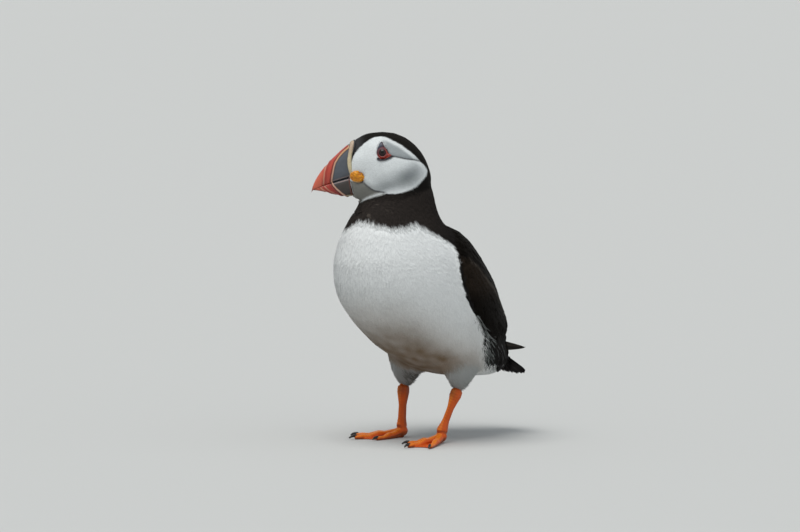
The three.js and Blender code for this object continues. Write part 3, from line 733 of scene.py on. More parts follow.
# %% Grain of barbs
def pattern(name, **inputs):
    """A node group that turns its named inputs into a mask and a normal, with its two ends."""
    group = bpy.data.node_groups.new(name, "ShaderNodeTree")
    for label, value in inputs.items():
        kind = "NodeSocketVector" if value is None else "NodeSocketFloat"
        made = group.interface.new_socket(label, in_out="INPUT", socket_type=kind)
        if value is not None:
            made.default_value = value
    group.interface.new_socket("Mask", in_out="OUTPUT", socket_type="NodeSocketFloat")
    group.interface.new_socket("Normal", in_out="OUTPUT", socket_type="NodeSocketVector")
    return group, group.nodes.new("NodeGroupInput").outputs, group.nodes.new("NodeGroupOutput").inputs


grain, grain_in, grain_out = pattern("fine_grain", Size=900, Depth=0.3)
grain_at = grain.nodes.new("ShaderNodeTexCoord")
cloud = grain.nodes.new("ShaderNodeTexNoise")
cloud.inputs["Detail"].default_value = 3
rise = grain.nodes.new("ShaderNodeBump")
rise.inputs["Distance"].default_value = 0.2 * MM
linked(
    grain,
    (grain_at.outputs["Object"], cloud.inputs["Vector"]),
    (grain_in["Size"], cloud.inputs["Scale"]),
    (cloud.outputs["Fac"], rise.inputs["Height"]),
    (grain_in["Depth"], rise.inputs["Strength"]),
    (cloud.outputs["Fac"], grain_out["Mask"]),
    (rise.outputs["Normal"], grain_out["Normal"]),
)
print("nodes in the grain:", len(grain.nodes))


# %% Materials that read the tint
def tint_nodes(name, colour, roughness, group, mask, shades, **settings):
    """A finish whose colour is the mesh's tint, made darker and lighter by a pattern's mask."""
    material, tree, shader = plain_material(name, colour, roughness)
    tint = tree.nodes.new("ShaderNodeVertexColor")
    tint.layer_name = "tint"
    texture = tree.nodes.new("ShaderNodeGroup")
    texture.node_tree = group
    spread = tree.nodes.new("ShaderNodeMapRange")
    spread.inputs["From Min"].default_value, spread.inputs["From Max"].default_value = mask
    spread.inputs["To Min"].default_value, spread.inputs["To Max"].default_value = shades
    scale = tree.nodes.new("ShaderNodeVectorMath")
    scale.operation = "SCALE"
    linked(
        tree,
        (texture.outputs["Mask"], spread.inputs["Value"]),
        (tint.outputs["Color"], scale.inputs[0]),
        (spread.outputs["Result"], scale.inputs["Scale"]),
        (scale.outputs["Vector"], shader.inputs["Base Color"]),
        (texture.outputs["Normal"], shader.inputs["Normal"]),
    )
    for label, value in settings.items():
        shader.inputs[label.replace("_", " ")].default_value = value
    return material, texture


def tint_finish(name, roughness, size, depth, vary, group=grain, mask=(0.3, 0.7), **settings):
    """A tinted finish with a pattern of its own size and depth."""
    material, texture = tint_nodes(name, (0.5, 0.5, 0.5), roughness, group, mask, (1 - vary, 1 + vary), **settings)
    texture.inputs["Size"].default_value, texture.inputs["Depth"].default_value = size, depth
    return material


skin_finish = tint_finish("skin_under_feathers", 0.8, 700, 0.2, 0.05)
down_finish = tint_finish("soft_feathers", 0.75, 1500, 0.15, 0.06, Specular_IOR_Level=0.06)
dark_finish = tint_finish("dark_feathers", 0.68, 1500, 0.15, 0.12, Specular_IOR_Level=0.05)
skin.data.materials.append(skin_finish)
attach(skin, "root")
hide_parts(*FLESH)
print("finishes of the plumage:", skin_finish.name, down_finish.name, dark_finish.name)

# %% [markdown]
# ## Feathers
# A feather is a closed sliver: a flat outline with a raised spine over it and a hollow under it. Soft
# feathers end in a point, contour feathers in a round edge. Each grows from a place on the skin and walks
# over it with the lie of the coat, rising at first and then running level, so its tip lies on the outline of
# the solids. They are made as arrays, because there are more than a hundred thousand of them.

# %% Lie of the coat
# points down the middle of the trunk, from the tail to the neck
SPINE = np.array([(0, 71, 47), (0, 61, 52), (0, 48, 60), (0, 30, 70), (0, 7, 84), (0, -12, 105),
                  (0, -24, 129), (0, -32, 149), (0, -35, 164), (-0.5, -36, 177), (-2, -39, 188)], float) * MM
SPINE_REACH = 14 * MM
BESIDE_LIE, BESIDE_SHARE = np.array([0, 0.35, -1]), 0.65
spine_run = unit(np.gradient(SPINE[::-1], axis=0)[::-1])


def lie(points, normals):
    """Direction of the feathers at each point: from the bill back over the head, then down to the tail."""
    gaps = np.linalg.norm(points[:, None] - SPINE, axis=2)
    weight = np.exp(-((gaps / SPINE_REACH) ** 2) + ((gaps.min(axis=1) / SPINE_REACH) ** 2)[:, None])
    run = (weight @ spine_run) / weight.sum(axis=1)[:, None]
    forward, up = side_view(points).T
    back_and_down = np.stack([0 * up, 0 * up + 1, -0.25 - 0.02 * np.clip(-forward, 0, 30)], axis=1) @ head_axes.T
    run = mixed(run, back_and_down, blend(-34, -16, up) * blend(-30, -10, forward + 0.5 * up))
    x, y, z = points.T / MM
    beside = blend(20, 32, np.abs(x)) * blend(122, 100, z) * blend(50, 60, z) * blend(56, 40, y)
    run = mixed(run, BESIDE_LIE + 0 * run, BESIDE_SHARE * beside)
    return unit(run - np.sum(run * normals, axis=1)[:, None] * normals)


print("lie at the neck and the tail:", spine_run[-1].round(2), spine_run[0].round(2))

# %% Walk over the skin
skin_tree = BVHTree.FromPolygons(skin_places.tolist(), skin_faces.tolist())
face_normals = unit(skin_normals[skin_faces].mean(axis=1))


def on_skin(points):
    """Nearest places on the skin, and the way the skin faces there."""
    found = [skin_tree.find_nearest(point) for point in points.tolist()]
    return np.array([hit[0] for hit in found]), face_normals[[hit[2] for hit in found]]


def walk(roots, normals, lengths, turns, stations, cling):
    """Stations along each feather: their places, the skin's normals and the feather's directions.
    A feather that clings less than fully leaves the skin and hangs past it."""
    runs = lie(roots, normals)
    sides = np.cross(normals, runs)
    runs = runs * np.cos(turns)[:, None] + sides * np.sin(turns)[:, None]
    track = [(roots, normals, runs)]
    for _ in range(stations - 1):
        ahead = roots + runs * (lengths / (stations - 1))[:, None] * MM
        nearest, facing = on_skin(ahead)
        roots, normals = ahead + cling * (nearest - ahead), normals + cling * (facing - normals)
        runs = unit(runs - np.sum(runs * normals, axis=1)[:, None] * normals)
        track.append((roots, normals, runs))
    return [np.stack(part, axis=1) for part in zip(*track)]


def at_share(track, share):
    """Rows of a track at one share of its length."""
    place = share * (track.shape[1] - 1)
    low = min(int(place), track.shape[1] - 2)
    return track[:, low] + (place - low) * (track[:, low + 1] - track[:, low])


print("faces to walk over:", len(face_normals))


# %% Outlines of feathers
def closed(rim):
    """A thin closed shape over an outline: the rim, a point over its middle and one under it."""
    ring, count = np.arange(len(rim)), len(rim)
    after = (ring + 1) % count
    upper = np.stack([ring, after, np.full(count, count)], axis=1)
    lower = np.stack([after, ring, np.full(count, count + 1)], axis=1)
    middle = [(0.45, 0), (0.45, 0)]
    return np.vstack([rim, middle]), np.vstack([upper, lower])


# marks along and across a feather of length 1 and half width 1
WISP = closed([(0, -0.15), (0.45, -1), (1, -0.12), (1, 0.12), (0.45, 1), (0, 0.15)])
ROUND = closed([(0, -0.15), (0.3, -0.75), (0.6, -1), (0.82, -0.86), (0.95, -0.5), (1, 0),
                (0.95, 0.5), (0.82, 0.86), (0.6, 1), (0.3, 0.75), (0, 0.15)])
LONG = 12


def feathers(roots, shape, lengths, widths, lifts, turns, thick, camber, rise, cling):
    """Vertices and triangles of many feathers, all in millimetres except the roots."""
    template, faces = shape
    stations = 4 if lengths.mean() < LONG else 7
    places, normals, runs = walk(roots["at"], roots["normal"], lengths, turns, stations, cling)
    spine = np.zeros(len(template))
    spine[-2:] = thick, -thick
    made = np.empty((len(lengths), len(template), 3))
    facings = np.empty_like(made)
    for i, (along, across) in enumerate(template):
        facing, run = at_share(normals, along), at_share(runs, along)
        side = np.cross(facing, run)
        height = lifts * (1 - (1 - along) ** rise) - camber * widths * across**2 + spine[i]
        made[:, i] = at_share(places, along) + MM * (
            facing * height[:, None] + side * (across * widths / 2)[:, None]
        )
        facings[:, i] = facing
    return made, facings, places


print("triangles of a wisp and of a round feather:", len(WISP[1]), len(ROUND[1]))

# %% Scatter roots on the skin
skin_corners = skin_places[skin_faces]
first_side, second_side = skin_corners[:, 1] - skin_corners[:, 0], skin_corners[:, 2] - skin_corners[:, 0]
face_area = np.linalg.norm(np.cross(first_side, second_side), axis=1) / 2


def scatter(wanted, spacing, seed):
    """Roots about one spacing apart, in millimetres, on the triangles that are wanted."""
    chance = np.random.default_rng(seed)
    odds = face_area * wanted
    count = int(3 * odds.sum() / (spacing * MM) ** 2)
    face = chance.choice(len(odds), count, p=odds / odds.sum())
    share = chance.random((count, 2))
    share = np.where(share.sum(axis=1, keepdims=True) > 1, 1 - share, share)
    weight = np.c_[1 - share.sum(axis=1), share]
    at = np.einsum("ij,ijk->ik", weight, skin_corners[face])
    # one root is kept in each small cube of space
    cell = np.floor(at / (0.95 * spacing * MM)).astype(np.int64) @ np.array([1, 4096, 16777216])
    keep = np.sort(np.unique(cell, return_index=True)[1])
    face, weight = face[keep], weight[keep]
    normal = np.einsum("ij,ijk->ik", weight, skin_normals[skin_faces[face]])
    found = {"at": at[keep], "normal": unit(normal), "map": np.einsum("ij,ijk->ik", weight, skin_map[face])}
    for name, field in skin_fields.items():
        found[name] = np.sum(weight * field[skin_faces[face]], axis=1)
    found["chance"] = chance.random((len(keep), 6))
    return found


print("skin, mm2:", round(face_area.sum() / MM**2))

# %% [markdown]
# ## Regions
# The plumage isn't the same all over: velvet on the face, dense down on the breast, loose plumes beside the
# wing, at the vent and on the thighs, and firm round feathers on the back and the wing. Each triangle of the
# skin is given to one region by its part, its height and how dark its marking is.

# %% Regions of the coat
DARK = 0.25

centre = skin_corners.mean(axis=1)
at_face = {name: field[skin_faces].mean(axis=1) for name, field in skin_fields.items()}
ground = markings(centre, at_face["wing"], at_face["thigh"]).mean(axis=1)
forward, up = side_view(centre).T
x, y, z = centre.T / MM
flank_edge = behind_flank(y, z)
in_face = face_colour(centre)[1] > 0.5
on_head = ((at_face["head"] > 0.5) | (in_face & (up > -25))) & (forward < 34)
on_wing = (at_face["wing"] > 0.5) & ~on_head
on_thigh = (at_face["thigh"] > 0.45) & ~on_wing & ~on_head
elsewhere = ~(on_head | on_wing | on_thigh)
on_neck = elsewhere & (ground < DARK) & (z > 146)
on_back = elsewhere & (ground < DARK) & ~on_neck & ((flank_edge > -3) | (z > 130))
on_breast = elsewhere & ~on_neck & ~on_back
beside_wing = elsewhere & (z > 56) & (z < 104) & (np.abs(x) > 15) & (flank_edge > -6) & (y < 56)
at_vent = (on_breast | on_back) & (z < 56) & (y > 28) & (y < 48)
on_rump = on_back & (y > 40) & (z > 58 - 0.3 * (y - 56))
for name, region in (("head", on_head), ("neck", on_neck), ("breast", on_breast), ("back", on_back),
                     ("wing", on_wing), ("thigh", on_thigh)):
    print(name, "area mm2:", round(face_area[region].sum() / MM**2))


# %% Joined meshes of feathers
PATCH = 0.003


def bake_patch(middle, across, along):
    """A small patch of the bake map round a middle, for a piece that is one across and one along."""
    return middle + PATCH * np.stack([across, along - 0.5], axis=-1)


def store_map(mesh, name, places, corners):
    """Stores a flat map of a mesh, from a place for each point and the points at its triangles' corners."""
    layer = mesh.uv_layers.new(name=name)
    layer.data.foreach_set("uv", places.reshape(-1, 2)[corners.ravel()].astype(np.float32).ravel())


def fleece(name, patches, made, faces, template, colours, normals, softness, finish):
    """One mesh of many feathers, with tint, bake map and softened normals, riding on the body."""
    count, size = made.shape[:2]
    mesh = bpy.data.meshes.new(name)
    mesh.vertices.add(count * size)
    mesh.vertices.foreach_set("co", made.astype(np.float32).ravel())
    corners = (np.arange(count)[:, None, None] * size + faces).reshape(-1, 3)
    mesh.loops.add(corners.size)
    mesh.loops.foreach_set("vertex_index", corners.astype(np.int32).ravel())
    mesh.polygons.add(len(corners))
    mesh.polygons.foreach_set("loop_start", np.arange(0, corners.size, 3, dtype=np.int32))
    mesh.polygons.foreach_set("use_smooth", np.ones(len(corners), bool))
    mesh.update(calc_edges=True)
    piece = placed(name, mesh)
    tinted(piece, colours.reshape(-1, 3))
    store_map(mesh, "OFBake", bake_patch(patches[:, None], template[:, 1] / 2, template[:, 0]), corners)
    shape = points_of(piece, "normal").reshape(count, size, 3)
    soft = shape + (normals - shape) * softness
    soft /= np.linalg.norm(soft, axis=2, keepdims=True) + 1e-9
    mesh.normals_split_custom_set_from_vertices(soft.reshape(-1, 3))
    mesh.materials.append(finish)
    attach(piece, "root")
    print(name, "feathers:", count, "triangles:", len(corners))


print("share of the bake map across one feather's patch:", PATCH)

# %% [markdown]
# ## Where no feather grows
# The eye, its red rim, the small horns, the rosette and the cere are bare. Their outlines are drawn once, in
# the head's side view, and used twice: to leave out the feathers there, and later to make the parts.

# %% Bare parts of the head
EYE_AT = (2.4, 11.4)
EYE_RIM = [(-3.2, 7.3), (-0.6, 6.9), (2.4, 6.7), (5.2, 7.8), (6.3, 9.6), (6.4, 12), (5.3, 14.3),
           (2.6, 15.5), (0, 14.9), (-1.1, 12.6), (-1.7, 9.8)]
UPPER_HORN = [(0, 18.7), (1.2, 18.6), (2.9, 17.3), (4.6, 15.6), (5.6, 13.6), (4.2, 13.9), (2.4, 14.3),
              (0.4, 13.9), (-0.5, 14.6), (-0.3, 16.6)]
LOWER_HORN = [(7.3, 8.9), (7.4, 7.2), (4.7, 5.7), (1.5, 5.3), (-1.8, 5.6), (-3.9, 6), (-2.4, 7.1),
              (1.2, 6.8), (4.5, 7.6), (6.6, 9.1)]
ROSETTE_AT, ROSETTE_LONG, ROSETTE_TALL, ROSETTE_TILT = (25.6, 0.8), 5.6, 4.3, math.radians(-24)


def turned_flat(places, angle):
    """Flat places turned clockwise by an angle."""
    turn = np.array([[math.cos(angle), math.sin(angle)], [-math.sin(angle), math.cos(angle)]])
    return places @ turn.T


def in_rosette(side):
    """Places in the head's side view, measured along and across the rosette: 1 is on its rim."""
    along, across = turned_flat(side - ROSETTE_AT, -ROSETTE_TILT).T
    return np.hypot(along / ROSETTE_LONG, across / ROSETTE_TALL)


def bare(points):
    """Where no feather grows: the eye and its rim, the small horns, the rosette and the cere."""
    side = side_view(points)
    forward, up = side.T
    found = np.zeros(len(points), bool)
    for outline, margin in ((EYE_RIM, 0.1), (UPPER_HORN, -0.1), (LOWER_HORN, -0.1)):
        found |= signed_gap(side, outline) > margin
    found |= in_rosette(side) < 0.88
    found |= forward > line_at(BILL_ROOT, up) - CERE_OVERLAP
    return found & (forward > -6) & (up > -13.5)


print("bare triangles:", bare(centre).sum())

# %% [markdown]
# ## The coats
# Each row of the table is one coat: how densely its feathers stand, their size and shape, how evenly they
# lie, and how far they cling to the skin. Dark coats show each feather's edge, white coats melt together, so
# white feathers take most of their shading from the skin. A hair system could do the down, but hairs have no
# mesh to export, and the firm feathers need a blade. So all of them are made as thin closed blades.

# %% Table of coats
Coat = namedtuple("Coat", "region spacing length width camber thick rise uneven turn cling "
                          "shape softness finish slot coloured")
# coloured: where a feather takes its colour, at its root, along it, at each of its points or near its tip
COATS = {
    "face_coat": Coat(on_head, 0.62, 2.5, 1.5, 0.05, 0.03, 4, 0.04, 0.12, 1,
                      WISP, 0.9, down_finish, "face_feathers", "along"),
    "neck_coat": Coat(on_neck, 0.72, 5, 1.1, 0.1, 0.08, 3, 0.12, 0.2, 1,
                      WISP, 0.6, dark_finish, "black_feathers", "along"),
    "breast_coat": Coat(on_breast, 0.68, 8, 1.45, 0.03, 0.03, 3, 0.045, 0.12, 0.97,
                        WISP, 0.9, down_finish, "white_feathers", "tip"),
    "thigh_coat": Coat(on_thigh, 0.66, 10.5, 0.85, 0.04, 0.05, 2, 0.15, 0.25, 0.4,
                       WISP, 0.92, down_finish, "white_feathers", "tip"),
    "flank_plumes": Coat(beside_wing, 0.62, 12.5, 0.75, 0.04, 0.04, 2, 0.3, 0.2, 0.9,
                         WISP, 0.85, down_finish, "white_feathers", "root"),
    "vent_plumes": Coat(at_vent, 0.6, 8, 0.7, 0.04, 0.04, 2, 0.3, 0.35, 0.7,
                        WISP, 0.85, down_finish, "white_feathers", "tip"),
    "back_coat": Coat(on_back & ~beside_wing, 2, 9, 5.2, 0.06, 0.08, 3, 0.08, 0.1, 1,
                      ROUND, 0.5, dark_finish, "black_feathers", "root"),
    "rump_coat": Coat(on_rump, 2.6, 17, 5.5, 0.06, 0.1, 2, 0.1, 0.12, 0.2,
                      ROUND, 0.5, dark_finish, "black_feathers", "root"),
    "covert_coat": Coat(on_wing & (z > 96), 2, 8.5, 4.4, 0.07, 0.08, 3, 0.1, 0.08, 1,
                        ROUND, 0.45, dark_finish, "wing_feathers", "points"),
    "flight_coat": Coat(on_wing & (z < 132), 3.2, 26, 6, 0.08, 0.12, 2, 0.12, 0.03, 0.9,
                        ROUND, 0.4, dark_finish, "wing_feathers", "points"),
}
print("coats:", len(COATS))

# %% Colours of a coat
BACK_LIMIT = shade("24211F")
PLUME_DARK, PLUME_BLACK, PLUME_STREAK, VENT_WHITE = shade("2B2826"), shade("151212"), shade("868A88"), shade("D9DBD9")


def plume_colour(colour, roots):
    """Plumes that hang over the edge of the white flank: dark, with single pale streaks."""
    x, y, z = roots["at"].T / MM
    chance = roots["chance"]
    inside = behind_flank(y, z)
    streak = (chance[:, 5] < 0.72 * blend(13, 0, inside) + 0.06) * (0.2 + 0.8 * chance[:, 4])
    plume = mixed(mixed(PLUME_DARK, PLUME_BLACK, chance[:, 2]), PLUME_STREAK, streak)
    return mixed(colour, plume, blend(-2, 1, inside) * blend(55, 59, z))


def coat_colours(name, coat, roots, made, track):
    """Colours of every point of a coat's feathers."""
    template = coat.shape[0]
    spots = {"root": [0], "along": template[:, 0], "tip": [0.75]}.get(coat.coloured)
    places = made if spots is None else np.stack([at_share(track, share) for share in spots], axis=1)
    count, spots = places.shape[:2]
    wing = np.maximum(roots["wing"], coat.slot == "wing_feathers")
    colours = markings(places.reshape(-1, 3), np.repeat(wing, spots), np.repeat(roots["thigh"], spots))
    colours = colours.reshape(-1, spots, 3) * (0.95 + 0.1 * roots["chance"][:, 5])[:, None, None]
    if name in ("back_coat", "rump_coat"):
        colours = np.minimum(colours, BACK_LIMIT)
    if name == "flank_plumes":
        colours[:, 0] = plume_colour(colours[:, 0], roots)
    if name == "vent_plumes":
        colours[:, 0] = mixed(colours[:, 0], VENT_WHITE, blend(52, 48, roots["at"][:, 1] / MM))
    colours = np.broadcast_to(colours, (count, len(template), 3))
    if coat.shape is ROUND:
        fringe = blend(0.6, 1, np.hypot(template[:, 0] - 0.35, 0.5 * template[:, 1]) + 0.1)
        colours = colours * (0.8 + 0.6 * fringe[None, :, None])
    return colours

# %% Grow the coats
FIRST_SEED, MOST_TRIANGLES = 40, 195000

for seed, (name, coat) in enumerate(COATS.items(), FIRST_SEED):
    template, faces = coat.shape
    roots = scatter(coat.region, coat.spacing, seed)
    chance = roots["chance"]
    lengths = coat.length * (0.8 + 0.4 * chance[:, 0])
    widths = coat.width * (0.8 + 0.4 * chance[:, 1])
    lifts = roots["depth"] * (1 - coat.uneven * (1.4 - 2 * chance[:, 2]))
    turns = coat.turn * (chance[:, 3] + chance[:, 4] - 1) * 2
    made, facings, track = feathers(roots, coat.shape, lengths, widths, lifts, turns, coat.thick, coat.camber,
                                    coat.rise, coat.cling)
    colours = coat_colours(name, coat, roots, made, track)
    kept = ~(bare(roots["at"]) | bare(track[:, -1]))
    # a coat too large for one piece is shared out by height
    pieces = 1 + kept.sum() * len(faces) // MOST_TRIANGLES
    group = np.argsort(np.argsort(roots["at"][:, 2])) * pieces // len(kept)
    for part in range(pieces):
        own = (group == part) & kept
        title = name if pieces == 1 else f"{name}_{part + 1}"
        fleece(title, roots["map"][own], made[own], faces, template, colours[own], facings[own], coat.softness,
               coat.finish)

# %% [markdown]
# ## Flight feathers
# Past the wing and the rump the long vanes of hand and tail show one by one. Each is a flat leaf along a
# middle line, with a raised shaft, thin edges and fine barbs that slant off the shaft. The leaves are fanned
# from the line of the wing's tip and from the tail's root, so that each lies a little over the next.

# %% Vane material
barbs, barbs_in, barbs_out = pattern("slanting_barbs", Vector=None, Depth=0.3)
lines = barbs.nodes.new("ShaderNodeTexWave")
lines.inputs["Scale"].default_value = 0.9
lines.inputs["Distortion"].default_value = 0.6
groove = barbs.nodes.new("ShaderNodeBump")
groove.inputs["Distance"].default_value = 0.15 * MM
linked(
    barbs,
    (barbs_in["Vector"], lines.inputs["Vector"]),
    (barbs_in["Depth"], groove.inputs["Strength"]),
    (lines.outputs["Fac"], groove.inputs["Height"]),
    (lines.outputs["Fac"], barbs_out["Mask"]),
    (groove.outputs["Normal"], barbs_out["Normal"]),
)

vane_finish, vane_barbs = tint_nodes("vane", (0.02, 0.02, 0.02), 0.62, barbs, (0, 1), (0.75, 1.3),
                                     Specular_IOR_Level=0.03)
vane_barbs.inputs["Depth"].default_value = 0.35
barb_map = vane_finish.node_tree.nodes.new("ShaderNodeUVMap")
barb_map.uv_map = "barb_lines"
linked(vane_finish.node_tree, (barb_map.outputs["UV"], vane_barbs.inputs["Vector"]))
print("nodes in the barbs:", len(barbs.nodes))


# %% Lofts through rings
def ring_faces(lengths, sides):
    """Triangles that join rings of points, with a point closing each end after the last ring."""
    ring, spoke = (part.ravel() for part in np.meshgrid(np.arange(lengths - 1), np.arange(sides), indexing="ij"))
    after = (spoke + 1) % sides
    a, b, c, d = ring * sides + spoke, ring * sides + after, (ring + 1) * sides + after, (ring + 1) * sides + spoke
    spoke = np.arange(sides)
    after, last = (spoke + 1) % sides, (lengths - 1) * sides
    first_cap = np.stack([after, spoke, np.full(sides, lengths * sides)], axis=1)
    last_cap = np.stack([last + spoke, last + after, np.full(sides, lengths * sides + 1)], axis=1)
    return np.vstack([np.stack([a, b, c], axis=1), np.stack([a, c, d], axis=1), first_cap, last_cap])


def new_piece(name, points, faces):
    """A new object with a mesh of its own."""
    mesh = bpy.data.meshes.new(name)
    mesh.from_pydata(points.tolist(), [], faces)
    return placed(name, mesh)


def face_out(piece):
    """Turns all faces outwards and shades them smooth."""
    in_edit_mode(piece, lambda: bpy.ops.mesh.normals_make_consistent(inside=False), bpy.ops.mesh.faces_shade_smooth)


print("triangles of a tube with 3 rings of 4:", len(ring_faces(3, 4)))

# %% Section of a vane
# shares of the half width, from one edge over the top to the other, and back under it
VANE_TOP = np.array([-1, -0.94, -0.75, -0.45, -0.14, 0, 0.14, 0.45, 0.75, 0.94, 1])
VANE_LOOP = np.r_[VANE_TOP, VANE_TOP[-2:0:-1]]
VANE_SIDE = np.r_[np.ones(len(VANE_TOP)), -np.ones(len(VANE_TOP) - 2)]
SHAFT_RISE, SHAFT_HALF, EDGE_DROP = 0.22, 0.16, 0.35
SHAFT_BROWN = shade("3A322B")


def vane_colours(count, share, colour, edge):
    """Colours over joined vanes, whose stations lie at shares of their length: edge, tip and shaft."""
    near_edge = np.r_[np.tile(np.abs(VANE_LOOP), len(share)), 0, 1]
    at_tip = np.r_[np.repeat(share, len(VANE_LOOP)), 0, 1]
    rim = np.maximum(blend(0.9, 1, near_edge) * blend(0.1, 0.4, at_tip), blend(0.96, 0.995, at_tip))
    tones = mixed(np.tile(colour, (count * len(rim), 1)), edge, np.tile(rim, count))
    return mixed(tones, SHAFT_BROWN, 0.6 * np.tile(bump(near_edge, 0.2), count))


print("points round a vane:", len(VANE_LOOP))


# %% Leaves for the tail and the wing tips
def leaves(name, lines, asides, halves, thick, colour, edge, nodes):
    """Joined vanes: middle lines and directions across, in metres, half widths in millimetres."""
    count, stations = lines.shape[:2]
    ups = unit(np.cross(np.gradient(lines, axis=1), asides))
    bulge = VANE_SIDE * thick * (0.2 + 0.8 * (1 - VANE_LOOP**2)) - EDGE_DROP * VANE_LOOP**2
    bulge += (VANE_SIDE > 0) * SHAFT_RISE * bump(VANE_LOOP, SHAFT_HALF)
    rings = lines[:, :, None] + MM * (
        asides[:, :, None] * (halves[:, :, None] * VANE_LOOP)[..., None] + ups[:, :, None] * bulge[:, None]
    )
    points = np.concatenate([rings.reshape(count, -1, 3), lines[:, :1], lines[:, -1:]], axis=1)
    faces = ring_faces(stations, len(VANE_LOOP))
    corners = (np.arange(count)[:, None, None] * points.shape[1] + faces).reshape(-1, 3)
    piece = new_piece(name, points.reshape(-1, 3), corners.tolist())
    share = np.linspace(0, 1, stations)
    tinted(piece, vane_colours(count, share, colour, edge))

    # the barbs' map runs along and across each vane in millimetres
    length = np.linalg.norm(np.diff(lines, axis=1), axis=2).sum(axis=1)[:, None] / MM
    along = np.repeat(length[:, :, None] * share[:, None], len(VANE_LOOP), axis=2).reshape(count, -1)
    along = np.c_[along, 0 * length, length]
    side = np.c_[(halves[:, :, None] * VANE_LOOP).reshape(count, -1), np.zeros((count, 2))]
    store_map(piece.data, "barb_lines", np.stack([along - 0.8 * np.abs(side), side], axis=-1), corners)
    hits = [skin_tree.find_nearest(point)[2] for point in lines[:, 0].tolist()]
    patch = bake_patch(skin_map[hits].mean(axis=1)[:, None], side / 8, along / length)
    store_map(piece.data, "OFBake", patch, corners)
    face_out(piece)
    piece.data.materials.append(vane_finish)
    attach(piece, "root")
    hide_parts(*nodes)
    print(name, "vanes:", count, "triangles:", len(corners))


# %% [markdown]
# ## Tail and folded hands
# A puffin's tail is short and square, of narrow vanes that all but hide each other. The hand of the folded
# wing shows only as a slim dark point over the tail. The vanes of the hand lie along one line down the wing
# and fan a little, and the right hand is the left one mirrored, as it is on the solids.

# %% Tail
VANE_STATIONS, VANE_THICK = 24, 0.3
TAIL_VANES, TAIL_LONG, TAIL_HALF = 14, 54.5, 3.7
RAGGED = (0, 0.9, 0.3, 0.6)
TAIL_BLACK, TAIL_EDGE = shade("121013"), shade("2E2A2C")

vane_share = np.linspace(0, 1, VANE_STATIONS)
tip_taper = np.clip((1 - vane_share) / 0.12, 0, 1) ** 0.5
tail_lines, tail_halves = [], []
for rank, place in enumerate(np.linspace(-1, 1, TAIL_VANES)):
    across = place * (10 + 8 * np.sin(vane_share * math.pi / 2))
    down = (TAIL_LONG - 5 * place**2 - RAGGED[rank % len(RAGGED)]) * vane_share
    drop = -0.001 * across**2 - 0.3 * abs(place) + 0.25 * math.sin(rank * 2.1)
    tail_lines.append(np.stack([
        across,
        TAIL_ROOT[0] + down * math.cos(TAIL_SLOPE) + drop * math.sin(TAIL_SLOPE),
        TAIL_ROOT[1] - down * math.sin(TAIL_SLOPE) + drop * math.cos(TAIL_SLOPE),
    ], axis=1) * MM)
    tail_halves.append(TAIL_HALF * (0.6 + 0.4 * np.clip(vane_share / 0.5, 0, 1)) * tip_taper)
across_tail = np.tile([1.0, 0, 0], (TAIL_VANES, VANE_STATIONS, 1))
leaves("tail_vanes", np.array(tail_lines), across_tail, np.array(tail_halves), VANE_THICK, TAIL_BLACK, TAIL_EDGE,
       ["tail"])

# %% Hands
HAND_LINE = np.array([(30, 30, 79), (26.5, 42, 73), (22, 51.4, 69.2), (15.5, 68, 66.4), (9, 84.6, 63.6)])
HAND_VANES, HAND_HALF, HAND_FLAT = 6, 3.8, [-0.5, 0, 0.86]
HAND_BLACK, HAND_EDGE = shade("0C0A08"), shade("4E463C")


def hand_vane(rank):
    """Middle line, directions across and half widths of one vane of the left hand, in millimetres."""
    at = vane_share * (len(HAND_LINE) - 1) * (1 - 0.05 * rank)
    line = np.stack([np.interp(at, range(len(HAND_LINE)), column) for column in HAND_LINE.T], axis=1)
    for _ in range(6):
        line[1:-1] = (line[:-2] + 2 * line[1:-1] + line[2:]) / 4
    run = unit(np.gradient(line, axis=0))
    aside = unit(np.array(HAND_FLAT) - (run @ HAND_FLAT)[:, None] * run)
    out = np.cross(aside, run)
    line = line + aside * ((rank - 2) * 1.1 * (1 - 0.75 * vane_share))[:, None] + out * (0.4 * rank - 1)
    half = HAND_HALF * (0.8 + 0.2 * np.clip(vane_share / 0.4, 0, 1))
    half *= np.clip((1 - vane_share) / 0.45, 0, 1) ** 0.65
    return line, aside, half


for side_name, side in (("left", 1), ("right", -1)):
    flip = np.array([side, 1, 1])
    hand_lines, hand_asides, hand_halves = (np.array(part) for part in zip(*map(hand_vane, range(HAND_VANES))))
    leaves(f"hand_vanes_{side_name}", hand_lines * flip * MM, hand_asides * flip, hand_halves, VANE_THICK,
           HAND_BLACK, HAND_EDGE, [f"wing_tip_{side_name}"])

# %% [markdown]
# ## Bill
# The bill is a deep, narrow shell of horn in bands: a slate plate at the root, a raised pale ridge round it,
# and red horn with pale grooves in front. A sculptor would turn the outline from three curves, the ridge of
# the bill, the mouth line and the keel below. The same curves are used here, with many more points than the
# solids have, and the bands are pressed into the surface and tinted at the same places.

# %% Surface of the mandibles
CULMEN = [(23.6, 24.9), (37, 20.2), (56, 12.4), (61.8, 0.4)]
GAPE = [(31.5, 1.8), (40, 2.2), (52, 3.2), (60.4, 2)]
GONYS = [(34.6, -12), (42, -11.2), (49.5, -3), (59, 1.4)]
BILL_HALF, BILL_TIP_HALF, BILL_BOW, MOUTH_CUT = 7.6, 0.8, 8.8, -0.2


def curve_at(marks, share):
    """Points on a cubic Bezier curve."""
    share = np.asarray(share)[..., None]
    a, b, c, d = np.asarray(marks, float)
    return (1 - share) ** 3 * a + 3 * share * (1 - share) ** 2 * b + 3 * share**2 * (1 - share) * c + share**3 * d


